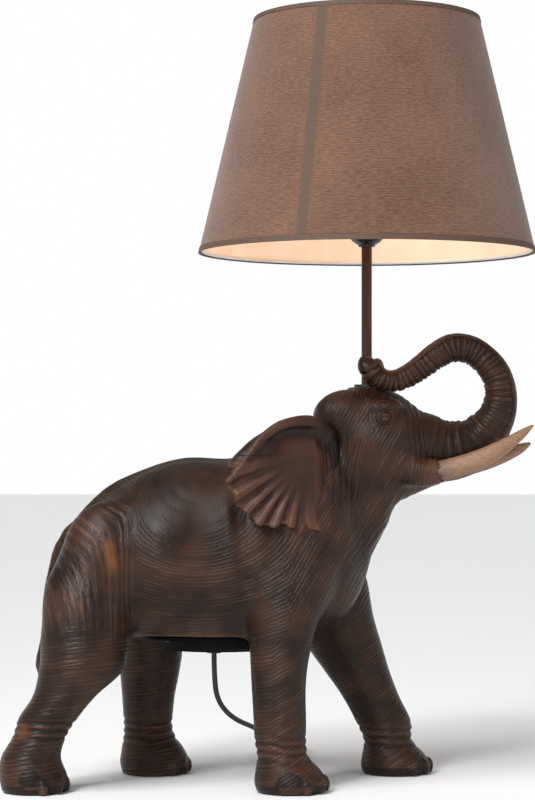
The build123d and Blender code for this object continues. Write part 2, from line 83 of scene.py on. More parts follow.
skyPart = sky.new("ShaderNodeSeparateXYZ")
skyRange = sky.new("ShaderNodeMapRange")
skyRange.interpolation_type = "SMOOTHSTEP"
skyFade = {"From Min": 0.2, "From Max": 0.36, "To Min": 1.0, "To Max": 0.3}  # white low down, dimmer overhead
for key, value in skyFade.items():
    skyRange.inputs[key].default_value = value
world.node_tree.links.new(skyPlace.outputs["Generated"], skyPart.inputs[0])
world.node_tree.links.new(skyPart.outputs["Z"], skyRange.inputs["Value"])
world.node_tree.links.new(skyRange.outputs[0], sky["Background"].inputs["Strength"])
sky["Background"].inputs["Color"].default_value = (1, 1, 1, 1)
scene.world = world
scene.view_settings.view_transform = "Standard"

# shader helper: a socket that can be used in Python sums


class Part:
    def __init__(self, paint, socket):
        self.paint, self.socket = paint, socket

    def maths(self, operation, *others):
        return self.paint.node("ShaderNodeMath", {"operation": operation}, [self, *others])

    def __add__(self, other):
        return self.maths("ADD", other)

    def __mul__(self, other):
        return self.maths("MULTIPLY", other)

    def __sub__(self, other):
        return self.maths("SUBTRACT", other)

    def __truediv__(self, other):
        return self.maths("DIVIDE", other)

    def __rsub__(self, other):
        return self.paint.node("ShaderNodeMath", {"operation": "SUBTRACT"}, [other, self])

    __radd__, __rmul__ = __add__, __mul__

    def sine(self):
        return self.maths("SINE")

    def clamped(self):
        return self.paint.node("ShaderNodeClamp", {}, [self])

    def between(self, low, high):  # 0 below low, 1 above high, smooth
        sockets = {"Value": self, "From Min": low, "From Max": high}
        return self.paint.node("ShaderNodeMapRange", {"interpolation_type": "SMOOTHSTEP"}, sockets)


class Paint:
    def __init__(self, name):
        self.material = bpy.data.materials.new(name)
        self.material.use_nodes = True
        self.tree = self.material.node_tree
        self.shader = self.tree.nodes["Principled BSDF"]
        self.place = self.node("ShaderNodeTexCoord", {}, {}, "Object")

    def link(self, socket, value):
        if isinstance(value, Part):
            self.tree.links.new(value.socket, socket)
        elif isinstance(value, tuple) and len(value) == 3 and socket.type == "RGBA":
            socket.default_value = (*value, 1)
        else:
            socket.default_value = value

    def node(self, kind, settings, sockets, output=0):
        made = self.tree.nodes.new(kind)
        for key, value in settings.items():
            setattr(made, key, value)
        pairs = enumerate(sockets) if isinstance(sockets, list) else sockets.items()
        for key, value in pairs:
            self.link(made.inputs[key], value)
        return Part(self, made.outputs[output])

    def mix(self, share, a, b):
        made = self.node("ShaderNodeMix", {"data_type": "RGBA"}, {"Factor": share}, 2)  # its colour result
        for index, value in ((6, a), (7, b)):  # its two colour sockets
            self.link(made.socket.node.inputs[index], value)
        return made

    def noise(self, scale, detail=3.0, place=None, rough=0.5):
        sockets = {"Vector": place or self.place, "Scale": scale, "Detail": detail, "Roughness": rough}
        return self.node("ShaderNodeTexNoise", {}, sockets)

    def split(self, vector):
        made = self.node("ShaderNodeSeparateXYZ", {}, {"Vector": vector})
        return [Part(self, made.socket.node.outputs[i]) for i in range(3)]

    def joined(self, x, y):
        return self.node("ShaderNodeCombineXYZ", {}, {"X": x, "Y": y, "Z": 0.0})

    def stretched(self, scale, place=None):
        return self.node("ShaderNodeMapping", {}, {"Vector": place or self.place, "Scale": scale})

    def attribute(self, name):
        return self.node("ShaderNodeAttribute", {"attribute_name": name}, {}, "Fac")

    def bump(self, height, strength, distance, under=None):
        sockets = {"Height": height, "Strength": strength, "Distance": distance}
        if under:
            sockets["Normal"] = under
        return self.node("ShaderNodeBump", {}, sockets)

    def finish(self, **inputs):
        for key, value in inputs.items():
            self.link(self.shader.inputs[key.replace("_", " ")], value)
        return self.material


# the mains lead: 1.9 m from the bush under the belly to its plug, the unseen length tied in a hank

leadPlan = {"length": 1.9, "diameter": 0.005, "exit": (-0.0545, -0.010, 0.1245)}
leadPoints = [
    (-54.5, -10, 127.7), (-54.5, -10, 104), (-52, 2, 78), (-38, 28, 58), (-16, 61, 45), (-3, 86, 35),
    (5, 108, 27), (9, 127, 18.5), (12, 138, 9),
]
hank = {
    "x": 10, "nearY": 131, "farY": 188, "inner": 16.9, "outer": 22.0, "waistInner": 2.7, "waistOuter": 7.9,
    "low": 4.3, "rise": 5.05,
}
hankTurns = [(0, 0), (1, 0), (1, 1), (0, 1), (0, 2), (1, 2), (1, 3)]  # inner or outer, and which layer
turnEnds = hankTurns[1:] + [(0.3, 3.3)]


def hankPoint(lobeY, degrees, place):
    radius = hank["inner"] + (hank["outer"] - hank["inner"]) * place[0]
    turn = math.radians(degrees)
    height = hank["low"] + hank["rise"] * place[1]
    return (hank["x"] + radius * math.cos(turn), lobeY + radius * math.sin(turn), height)


def waistPoint(side, place):
    offset = hank["waistInner"] + (hank["waistOuter"] - hank["waistInner"]) * place[0]
    height = hank["low"] + hank["rise"] * place[1]
    return (hank["x"] + side * offset, (hank["nearY"] + hank["farY"]) / 2, height)


for index, (start, end) in enumerate(zip(hankTurns, turnEnds)):
    leadPoints.append(waistPoint(1, start))
    leadPoints += [hankPoint(hank["farY"], angle, start) for angle in (-25, 20, 65, 115, 160, 205)]
    leadPoints.append(waistPoint(-1, start))
    shares = [0, 0, 0.15, 0.5, 0.85, 1]
    for angle, share in zip((155, 200, 245, 295, 340, 385), shares):
        place = tuple(a + (b - a) * share for a, b in zip(start, end))
        leadPoints.append(hankPoint(hank["nearY"], angle, place))
leadPoints += [(15, 147, 27.5), (11, 155, 29.8), (10, 163, 29.8), (10, 172, 29.8)]

leadCurve = bpy.data.curves.new("mainsLead", "CURVE")
leadCurve.dimensions = "3D"
leadLine = leadCurve.splines.new("NURBS")
leadLine.points.add(len(leadPoints) - 1)
for spot, p in zip(leadLine.points, leadPoints):
    spot.co = (*[value * mm for value in p], 1)
leadLine.order_u = 3
leadLine.use_endpoint_u = True
leadLine.resolution_u = 8
leadCurve.bevel_depth = leadPlan["diameter"] / 2
leadCurve.bevel_resolution = 3
leadCurve.use_fill_caps = True
mainsLead = bpy.data.objects.new("mainsLead", leadCurve)
scene.collection.objects.link(mainsLead)
leadPaint = Paint("leadPvc")
leadSpeckle = leadPaint.noise(700, 2)
leadMaterial = leadPaint.finish(
    Base_Color=leadPaint.mix(leadSpeckle, (0.010, 0.010, 0.010), (0.018, 0.017, 0.017)),
    Roughness=0.38 + leadSpeckle * 0.14, Normal=leadPaint.bump(leadSpeckle, 0.1, 0.0002))
leadCurve.materials.append(leadMaterial)
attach(mainsLead, lampBody)
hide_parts("power_cord", "cord_hank", "cord_tail")
print("lead made")

# mesh helpers


def placed(name, data):
    piece = bpy.data.objects.new(name, data)
    scene.collection.objects.link(piece)
    return piece


def newPiece(name, points, faces, material, body=lampBody):  # smooth, with its faces turned outwards
    data = bpy.data.meshes.new(name)
    data.from_pydata([tuple(p) for p in points], [], [tuple(f) for f in faces])
    shape = bmesh.new()
    shape.from_mesh(data)
    bmesh.ops.recalc_face_normals(shape, faces=shape.faces)
    shape.to_mesh(data)
    shape.free()
    data.polygons.foreach_set("use_smooth", [True] * len(data.polygons))
    data.materials.append(material)
    piece = placed(name, data)
    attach(piece, body)
    return piece


def through(rows, count=160):  # smooth values through rows whose first column is the place
    rows = np.array(rows, float)
    t, v = rows[:, 0], rows[:, 1:]
    slope = np.gradient(v, t, axis=0)
    at = np.linspace(t[0], t[-1], count)
    i = np.clip(np.searchsorted(t, at, side="right") - 1, 0, len(t) - 2)
    w = (t[i + 1] - t[i])[:, None]
    s = (at[:, None] - t[i][:, None]) / w
    a, b = 2 * s**3 - 3 * s**2 + 1, s**3 - 2 * s**2 + s
    c, d = 3 * s**2 - 2 * s**3, s**3 - s**2
    return at, a * v[i] + b * w * slope[i] + c * v[i + 1] + d * w * slope[i + 1]


def distances(points):  # how far each point is along its line
    return np.concatenate([[0], np.cumsum(np.linalg.norm(np.diff(np.array(points, float), axis=0), axis=1))])


def smoothPath(points, radii, count):
    rows = [(c, *p, r) for c, p, r in zip(distances(points), points, radii)]
    at, values = through(rows, count)
    return at, values[:, :3], values[:, 3]


def softMin(a, b, soft):
    h = np.clip(0.5 + 0.5 * (b - a) / soft, 0, 1)
    return b + (a - b) * h - soft * h * (1 - h)


def softMax(a, b, soft):
    return -softMin(-a, -b, soft)


def ease(value, low, high):
    s = np.clip((value - low) / (high - low), 0, 1)
    return s * s * (3 - 2 * s)


class Clay:  # a block of distances in millimetres, below zero inside the figure
    far = 30.0

    def __init__(self, low, high, step):
        self.low, self.step = np.array(low, float), step
        counts = np.ceil((np.array(high) - self.low) / step).astype(int) + 1
        self.field = np.full(counts, self.far, np.float32)

    def window(self, low, high):
        a = np.clip(((np.array(low) - self.low) / self.step).astype(int), 0, np.array(self.field.shape) - 1)
        b = np.clip(((np.array(high) - self.low) / self.step).astype(int) + 2, 1, self.field.shape)
        b = np.maximum(b, a + 1)
        cut = tuple(slice(i, j) for i, j in zip(a, b))
        steps = [(np.arange(i, j) * self.step + o).astype(np.float32) for i, j, o in zip(a, b, self.low)]
        return cut, np.meshgrid(*steps, indexing="ij", sparse=True)

    def add(self, shape, soft=8.0):
        low, high, distance = shape
        cut, (x, y, z) = self.window(np.array(low) - soft - 8, np.array(high) + soft + 8)
        self.field[cut] = softMin(self.field[cut], distance(x, y, z), soft)

    def cut(self, shape, soft=2.0):
        low, high, distance = shape
        window, (x, y, z) = self.window(np.array(low) - soft - 4, np.array(high) + soft + 4)
        self.field[window] = softMax(self.field[window], -distance(x, y, z), soft)

    def push(self, low, high, amount):  # moves the surface in by amount(x, y, z)
        window, (x, y, z) = self.window(low, high)
        self.field[window] += amount(x, y, z).astype(np.float32)

    def hollows(self, reach):  # above zero in creases, below zero on ridges, at the scale of reach
        blurred = self.field.clip(-12, 12).astype(np.float32)
        width = max(1, int(round(reach / self.step)))
        for axis in range(3):
            total = np.cumsum(blurred, axis=axis, dtype=np.float32)
            ahead = np.roll(total, -width, axis=axis)
            behind = np.roll(total, width + 1, axis=axis)
            blurred = (ahead - behind) / (2 * width + 1)
        return blurred

    def sample(self, grid, points):
        where = (points - self.low) / self.step
        i = np.clip(where.astype(int), 0, np.array(grid.shape) - 2)
        f = where - i
        total = 0
        for dx in (0, 1):
            for dy in (0, 1):
                for dz in (0, 1):
                    weight = abs(1 - dx - f[:, 0]) * abs(1 - dy - f[:, 1]) * abs(1 - dz - f[:, 2])
                    total = total + weight * grid[i[:, 0] + dx, i[:, 1] + dy, i[:, 2] + dz]
        return total

    def mesh(self):
        grid = openvdb.FloatGrid(self.far)
        grid.copyFromArray(np.ascontiguousarray(self.field))
        points, quads = grid.convertToQuads(0.0)
        points = points * self.step + self.low
        return points, quads[:, ::-1]


def ovalReach(a, b, ra, rb):
    k = np.sqrt((a / ra) ** 2 + (b / rb) ** 2) + 1e-4
    g = np.sqrt((a / ra**2) ** 2 + (b / rb**2) ** 2) + 1e-6
    return k * (k - 1) / g


def ball(centre, radii, lean=0.0):
    cx, cy, cz = centre
    rx, ry, rz = radii
    c, s = math.cos(math.radians(lean)), math.sin(math.radians(lean))
    reach = max(radii)

    def distance(x, y, z):
        u, w = (x - cx) * c + (z - cz) * s, (z - cz) * c - (x - cx) * s
        v = y - cy
        k = np.sqrt((u / rx) ** 2 + (v / ry) ** 2 + (w / rz) ** 2) + 1e-4
        g = np.sqrt((u / rx**2) ** 2 + (v / ry**2) ** 2 + (w / rz**2) ** 2) + 1e-6
        return k * (k - 1) / g

    return np.array(centre) - reach, np.array(centre) + reach, distance


def upright(rows, ends=6.0):  # rows of height, centre x and y, half-widths in x and y
    at, values = through(rows)
    table = values.T

    def distance(x, y, z):
        cx, cy, rx, ry = [np.interp(z, at, row).astype(np.float32) for row in table]
        side = ovalReach(x - cx, y - cy, np.maximum(rx, 2), np.maximum(ry, 2))
        return softMax(side, np.maximum(at[0] - z, z - at[-1]), ends)

    low = [(values[:, 0] - values[:, 2]).min(), (values[:, 1] - values[:, 3]).min(), at[0]]
    high = [(values[:, 0] + values[:, 2]).max(), (values[:, 1] + values[:, 3]).max(), at[-1]]
    return np.array(low), np.array(high), distance


def lengthwise(rows, ends=20.0):  # rows of x, middle height, half-height, half-width
    at, values = through(rows)
    table = values.T

    def distance(x, y, z):
        cz, rz, ry = [np.interp(x, at, row).astype(np.float32) for row in table]
        side = ovalReach(y, z - cz, np.maximum(ry, 2), np.maximum(rz, 2))
        return softMax(side, np.maximum(at[0] - x, x - at[-1]), ends)

    low = [at[0], -values[:, 2].max(), (values[:, 0] - values[:, 1]).min()]
    high = [at[-1], values[:, 2].max(), (values[:, 0] + values[:, 1]).max()]
    return np.array(low), np.array(high), distance


# the elephant's clay, in millimetres: it faces +X with its right side to -Y

clayStep = {"hide": 1.5, "trunk": 1.1, "ear": 1.2}

torsoRows = [  # x, middle height, half-height, half-width
    (-204, 186, 26, 22), (-200, 186, 40, 34), (-190, 188, 53, 46), (-164, 199.5, 69, 63),
    (-130, 215.5, 76.5, 72), (-85, 223, 84.5, 76), (-40, 225, 83, 76), (5, 230, 89, 72), (45, 235, 90, 62),
    (75, 232, 67, 44), (88, 228, 40, 28),
]
limbRows = {  # height, middle x and y, half-widths in x and y
    "nearFore": [
        (0.5, 17.5, -65, 31, 30), (8, 17.7, -65, 33.5, 32), (20, 15.5, -65, 30.5, 30),
        (33, 10.5, -64, 24, 25), (44, 8.6, -64, 24, 24), (65, 7.8, -63, 24.4, 24.5),
        (110, 6.8, -62, 26, 25.5), (150, 10, -58, 31, 28), (205, 17, -46, 41, 31), (232, 22, -38, 30, 24),
        (250, 26, -32, 14, 12),
    ],
    "nearHind": [
        (0.5, -220.5, -65, 29, 28), (13, -220.8, -65, 31.5, 31), (33, -223, -65, 27.5, 27),
        (50, -216, -64, 25, 25), (68, -207.6, -63, 27.4, 26), (88, -193, -62, 29.2, 28.5),
        (112, -177.2, -61, 39, 32), (150, -174.6, -56, 39.6, 34), (205, -163, -46, 42, 29),
        (232, -152, -40, 30, 22), (248, -146, -34, 14, 11),
    ],
    "farHind": [
        (0.5, -115, 64, 31, 30), (12, -114.6, 65, 33.8, 32), (23, -116, 64, 31, 30),
        (36, -119.4, 63, 25.8, 25), (70, -120.6, 62, 25.2, 25), (98, -119.2, 62, 28.8, 26.5),
        (122, -118, 60, 31, 29), (150, -128, 55, 38, 33), (205, -142, 46, 43, 29), (232, -140, 40, 30, 22),
        (248, -138, 34, 14, 11),
    ],
    "farFore": [
        (0.5, 121, 64, 31, 30), (8, 122, 65, 34, 32), (20, 119.5, 64, 30, 30), (31, 115, 63, 24.5, 25),
        (50, 110.4, 62, 27, 25), (77, 96.9, 62, 28, 26.5), (102, 83.4, 60, 32, 29),
        (124, 72.4, 57, 36.5, 31), (150, 63, 52, 38, 32), (205, 48, 43, 40, 28), (232, 44, 37, 28, 22),
        (250, 42, 32, 14, 11),
    ],
}
trunkPoints = [
    (126, 0, 324), (138, 0, 322), (166, -1, 316.6), (189.4, -3, 321.8), (206, -5, 336.6), (216, -7, 354.3),
    (218, -8, 373), (212.6, -9, 390.6), (201.8, -10, 403.6), (188, -10, 412.6), (173, -10, 414.3),
    (158, -11, 407.5), (144, -12, 397), (130, -13.5, 387.6), (116, -16, 382.6), (105, -19, 384.4),
    (97, -20, 389.5), (93.6, -20, 395),
]
trunkRadii = [
    32, 32.4, 29.6, 25.4, 20.8, 17.3, 15.3, 14.5, 14, 13.8, 13.8, 13, 12, 11.2, 10.4, 10.0, 10.8, 11.2,
]
eyePlace = (106.5, 348)  # x and height
ring = {"pitch": 4.6, "depth": 1.5, "bandEdge": 0.66}


class Rope:  # a smooth line with a thickness, and where a point lies along and round it
    def __init__(self, points, radii, count=30):
        self.along, self.line, self.radii = smoothPath(points, radii, count)
        self.low = self.line.min(0) - self.radii.max()
        self.high = self.line.max(0) + self.radii.max()

    def measure(self, x, y, z, follow=False):
        best, place, side = None, None, None
        steps = distances(self.line)
        for i, (a, b) in enumerate(zip(self.line, self.line[1:])):
            d = b - a
            t = ((x - a[0]) * d[0] + (y - a[1]) * d[1] + (z - a[2]) * d[2]) / (d @ d)
            t = np.clip(t, 0, 1).astype(np.float32)
            across = [x - a[0] - t * d[0], y - a[1] - t * d[1], z - a[2] - t * d[2]]
            reach = np.sqrt(across[0] ** 2 + across[1] ** 2 + across[2] ** 2)
            here = reach - (self.radii[i] + (self.radii[i + 1] - self.radii[i]) * t)
            if best is None:
                best = here
                if follow:
                    place, side = steps[i] + t * np.linalg.norm(d), 0 * here
            nearer = here <= best
            best = np.where(nearer, here, best)
            if follow:
                outward = (d[2] * across[0] - d[0] * across[2]) / (np.linalg.norm(d) * (reach + 1e-4))
                place = np.where(nearer, steps[i] + t * np.linalg.norm(d), place)
                side = np.where(nearer, outward, side)
        return (best, place, side) if follow else best

    def shape(self):
        return self.low, self.high, self.measure


def groove(phase, sharpness=3.0):
    return (0.5 + 0.5 * np.cos(2 * math.pi * phase)) ** sharpness


def near(x, y, z, centre, reach):  # 1 at the centre, fading to 0 at reach
    far = np.sqrt((x - centre[0]) ** 2 + (y - centre[1]) ** 2 + (z - centre[2]) ** 2)
    return 1 - ease(far, 0.55 * reach, reach)


def modelHide():
    clay = Clay((-264, -106, -4), (176, 106, 388), clayStep["hide"])
    clay.add(lengthwise(torsoRows, 22), 4)
    for side in (-1, 1):
        clay.add(ball((-156, side * 44, 219), (40, 30, 50), -10), 18)  # hip
        clay.add(ball((-95, side * 40, 212), (52, 40, 58)), 14)  # flank
        clay.add(ball((-30, side * 38, 214), (62, 40, 62)), 16)  # belly
        clay.add(ball((24, side * 44, 214), (30, 27, 56), 8), 16)  # shoulder
    for rows in limbRows.values():
        clay.add(upright(rows, 1.6), 13)
    clay.add(ball((28, 0, 283), (62, 54, 60)), 14)  # neck
    throat = [(119, 0, 299), (99, 0, 281), (84.5, 0, 256.5), (72.5, 0, 236), (63.5, 0, 212), (59, 0, 194)]
    clay.add(Rope(throat, [23.5, 23.5, 28.6, 29.2, 27, 26], 16).shape(), 14)
    clay.add(ball((98, 0, 320), (54, 45, 56)), 10)  # skull
    for side in (-1, 1):
        clay.add(ball((72.5, side * 16, 348.5), (32.5, 22, 26)), 8)
        clay.add(ball((112, side * 25, 322), (30, 21, 34)), 12)  # cheek
        clay.add(ball((105, side * 30, 358), (17, 11, 8)), 7)  # brow
    clay.add(ball((126, 0, 301), (34, 26, 24.5)), 10)  # jaw
    lip = [(118, 0, 290.5), (138, -2, 290), (150, -5, 288.6), (158, -7, 286.6)]
    clay.add(Rope(lip, [17.6, 11, 6.4, 2.5], 12).shape(), 6)
    clay.add(Rope(trunkPoints[:3], [31, 30.5, 26], 8).shape(), 10)
    sheaths = [
        [(108, -21, 306), (128, -29, 300), (144, -33.5, 296.4), (158, -36.3, 297.3)],
        [(108, 21, 306), (128, 28, 299), (144, 31.5, 295.6), (158, 33.4, 297.4)],
    ]
    for line in sheaths:
        clay.add(Rope(line, [15, 16, 14, 11.2], 12).shape(), 7)
    tail = [
        (-190, 0, 236), (-199, 0, 224), (-205, 0, 204), (-211, -3, 181), (-212.5, -7, 152), (-215, -10, 130),
        (-217, -10, 113), (-216, -10, 98),
    ]
    clay.add(Rope(tail, [8, 8, 7.5, 6, 5, 6, 7.2, 3.2], 20).shape(), 7)
    spine = [
        (-192, 0, 237), (-174, 0, 258), (-148, 0, 279.5), (-120, 0, 290.5), (-84, 0, 301.5), (-40, 0, 302),
    ]
    clay.add(Rope(spine, [5, 6, 7, 7, 6, 4], 14).shape(), 8)

    for name, rows in limbRows.items():  # toenails
        _, x0, y0, rx, ry = rows[1]
        lean = 0 if "Fore" in name else 5 * (-1 if "near" in name else 1)
        for angle in (-62, -30, 0, 30, 62):
            turn = math.radians(angle + lean)
            cx, cy = x0 + (rx - 2.2) * math.cos(turn), y0 + (ry - 2.2) * math.sin(turn)
            clay.add(ball((cx, cy, 7.5), (5.2, 5.2, 8.5)), 1.6)

    def creases(x, y, z):  # rings round the ankles
        amount = 0
        for name, rows in limbRows.items():
            _, x0, y0, _, _ = rows[3]
            reach = 1 - ease(np.sqrt((x - x0) ** 2 + (y - y0) ** 2), 44, 52)
            ankle = rows[3][0] + (8 if name == "nearHind" else 4)
            band = reach * (1 - ease(abs(z - ankle - 3), 9, 16))
            wander = 0.10 * (x - x0) + 1.2 * np.sin(x * 0.11 + y * 0.07)
            amount = amount + band * 1.5 * groove((z + wander) / 7.5, 2.2)
        return amount

    clay.push((-264, -106, 16), (160, 106, 66), creases)

    def folds(x, y, z):  # in front of the thigh and behind the shoulder, with shallow arcs on the belly
        flank = ease(abs(y), 10, 30)
        belly = flank * near(x, 0, z, (-92, 0, 205), 120)
        thigh = flank * (1 - ease(abs(x + 118 + 0.34 * (z - 200)), 3, 26))
        thigh = thigh * ease(z, 150, 190) * (1 - ease(z, 262, 290))
        shoulder = flank * (1 - ease(abs(x + 22 + 0.1 * (z - 200)), 3, 13))
        shoulder = shoulder * ease(z, 160, 190) * (1 - ease(z, 255, 285))
        radius = np.sqrt((x + 70) ** 2 + 1.25 * (z - 292) ** 2)
        arcs = groove((radius + 2 * np.sin(x * 0.05)) / 13.0, 2)
        return 1.8 * thigh + 2.0 * shoulder + 0.15 * belly * arcs

    clay.push((-250, -106, 100), (60, 106, 330), folds)

    # eyes, with lids and the rings round them
    for side in (-1, 1):
        ex, ez = eyePlace
        clay.cut(ball((ex, side * 46, ez), (8.5, 6, 7)), 4)
        clay.add(ball((ex + 0.5, side * 38.4, ez - 0.5), (6.6, 5.6, 5.4)), 1.2)

        def rings(x, y, z):
            radius = np.sqrt((x - ex) ** 2 + 1.15 * (z - ez) ** 2)
            fade = ease(radius, 4, 7) * (1 - ease(radius, 15, 22)) * (1 - ease(abs(y - side * 38), 12, 18))
            lid = 1 - ease(abs(z - ez + 0.05 * (x - ex) ** 2 - 0.6), 0.4, 1.5)
            lid = lid * (1 - ease(abs(x - ex), 4, 6.4)) * (1 - ease(abs(y - side * 42), 6, 9))
            return 1.1 * fade * groove(radius / 3.7, 1.6) + 1.6 * lid

        inner, outer = sorted((side * 22, side * 56))
        clay.push((ex - 24, inner, ez - 24), (ex + 24, outer, ez + 24), rings)

    # the fold of the mouth
    for side, drop in ((-1, 0), (1, -7)):
        line = [(110, 34, 297), (118, 31, 291), (134, 27, 286.5), (147, 28, 288.5), (157, 28, 290)]
        line = [(x, side * y, z + drop) for x, y, z in line]
        clay.cut(Rope(line, [0.5, 1.3, 2.0, 2.4, 2.4], 16).shape(), 3)

    def wrinkles(x, y, z):  # on the cheeks, the throat and the root of the trunk
        lines = ease(x, 118, 132) * (1 - ease(x, 158, 170)) * ease(z, 296, 310)
        cheek = ease(x, 50, 60) * (1 - ease(x, 78, 92)) * ease(z, 262, 275) * (1 - ease(z, 322, 336))
        throat = ease(x, 60, 70) * (1 - ease(z, 268, 284)) * ease(z, 205, 225)
        wave = 1.3 * np.sin(z * 0.09) + 0.8 * np.sin(z * 0.21 + 1)
        return (0.8 * lines * groove((x + wave + 0.12 * (z - 320)) / 5.2, 1.6)
                + 0.8 * cheek * groove((x - 0.1 * (z - 290) + wave) / 6.0, 1.6)
                + 0.7 * throat * groove((x - 0.75 * z + wave) / 6.5, 1.6))

    clay.push((46, -70, 200), (176, 70, 386), wrinkles)

    # flats for the lamp's fixings: the skull under the flange, the belly over the pan, the soles
    def pillar(x0, y0, low, high, rx, ry):
        def distance(x, y, z):
            return softMax(ovalReach(x - x0, y - y0, rx, ry), np.maximum(low - z, z - high), 0.5)
        return np.array([x0 - rx, y0 - ry, low]), np.array([x0 + rx, y0 + ry, high]), distance

    clay.add(pillar(91, 0, 352, 376.6, 17, 17), 9)
    clay.cut(pillar(91, 0, 376.9, 392, 22, 22), 1)
    clay.add(pillar(-51, 0, 143, 168, 78, 60), 10)
    clay.cut(pillar(-51, 0, 112, 141.2, 71.5, 51.5), 0.5)
    clay.cut(((-264, -106, -20), (176, 106, 0.9), lambda x, y, z: z - 0.9 + 0 * x + 0 * y), 1)
    for rows in limbRows.values():
        clay.cut(pillar(rows[0][1], rows[0][2], -6, 2.4, 22.5, 22.5), 0.4)
    for line in (rightTuskLine, leftTuskLine):
        clay.cut(Rope(line, np.array(tuskRadii) + 0.2, 24).shape(), 0.6)
    return clay


rightTuskLine = [
    (148, -34.2, 295), (158, -36.3, 297.2), (178, -38.5, 302.4), (201, -40, 311), (215, -40.2, 319),
    (229.5, -40, 328.4), (239, -39.6, 335.4), (245.6, -39, 340.4),
]
leftTuskLine = [
    (148, 32, 294.6), (158, 33.4, 296.4), (176, 35, 299.4), (198, 36, 304.2), (216, 36, 309.2),
    (232, 35.2, 314.8), (243, 34.2, 319.6), (251, 33, 323.8),
]
tuskRadii = [9.4, 9.8, 9.7, 9.0, 7.5, 5.2, 3.2, 1.0]
farTuskRadii = [9.4, 9.8, 9.8, 9.3, 8.1, 6.3, 4.4, 1.2]


def hideStrokes(points):  # for each stroke pattern: across, along and how strong it is
    x, y, z = points.T
    limb = 1 - ease(z, 128, 168)
    cheekOrTrunk = np.maximum((1 - ease(x, 78, 96)) * (1 - ease(z, 318, 338)), ease(x, 120, 138))
    head = ease(x, 54, 70) * ease(z, 225, 262) * (0.15 + 0.85 * cheekOrTrunk)
    radius = np.sqrt(0.55 * (x + 68) ** 2 + (z - 266) ** 2)
    angle = abs(np.arctan2(x + 68, 266 - z))
    belly = (1 - ease(x, 0, 34)) * ease(x, -138, -112) * (1 - limb) * (1 - head)
    thigh = (1 - ease(x, -138, -112)) * (1 - limb)
    chest = ease(x, 0, 34) * (1 - limb) * (1 - head)
    hipR = np.sqrt((x + 128) ** 2 + 0.6 * (z - 262) ** 2)
    arc = (radius, 60 * angle, belly * (0.08 + 0.92 * ease(radius, 20, 58)))
    hip = (hipR * 0.55 + 0.75 * x + 0.42 * z, 0.6 * z - 0.5 * x, thigh)
    leg = (0.55 * x * np.where(x > 0, -1, -0.2) + 0.86 * z, 0.8 * x + 0.4 * z + 0.5 * y, limb)
    front = (0.84 * x - 0.5 * z, 0.5 * x + 0.84 * z, chest)
    eye = np.sqrt((x - eyePlace[0]) ** 2 + (z - eyePlace[1]) ** 2)
    around = head * (1 - ease(eye, 16, 30))
    eyes = (eye, 10 * np.arctan2(z - eyePlace[1], x - eyePlace[0]), around)
    cheek = (x - 0.1 * z + 2 * np.sin(z * 0.05), z, head - around)
    groups = [(arc, eyes), (hip, front), (leg, cheek)]
    packed = []
    for first, second in groups:
        stronger = second[2] > first[2]
        packed.append(np.stack([np.where(stronger, b, a) for a, b in zip(first, second)], 1))
    return packed


print("clay shapes ready")

earOutline = [  # a flap seen flat, from the cheek round the back: x and height
    (63, 238), (60, 254), (57, 270), (56, 298), (57, 326), (50, 339), (33, 347.5), (12, 345.5),
    (0, 342), (-12, 334.3), (-21, 327), (-30, 315.5), (-36.5, 307.5), (-45.5, 296), (-52.5, 288),
    (-51, 279), (-44, 276), (-42, 263), (-32, 259), (-26, 249), (-13, 244), (3, 246), (18, 243.5),
    (31, 243), (45, 240.5), (56, 238),
]
ear = {"hingeX": 58, "hingeY": 52, "flare": 24, "thickness": 4.6, "pleats": 11, "pleatDepth": 2.7}
pleatMiddle = (30, 312)


def outlineReach(outline, u, v):  # signed distance from a closed outline, below zero inside
    best, inside = np.full(np.broadcast(u, v).shape, 1e9), np.zeros(np.broadcast(u, v).shape, bool)
    for (ax, ay), (bx, by) in zip(outline, outline[1:] + outline[:1]):
        t = np.clip(((u - ax) * (bx - ax) + (v - ay) * (by - ay)) / ((bx - ax) ** 2 + (by - ay) ** 2), 0, 1)
        best = np.minimum(best, (u - ax - t * (bx - ax)) ** 2 + (v - ay - t * (by - ay)) ** 2)
        crossing = ((ay > v) != (by > v)) & (u < (bx - ax) * (v - ay) / (by - ay + 1e-9) + ax)
        inside ^= crossing
    return np.where(inside, -1, 1) * np.sqrt(best)


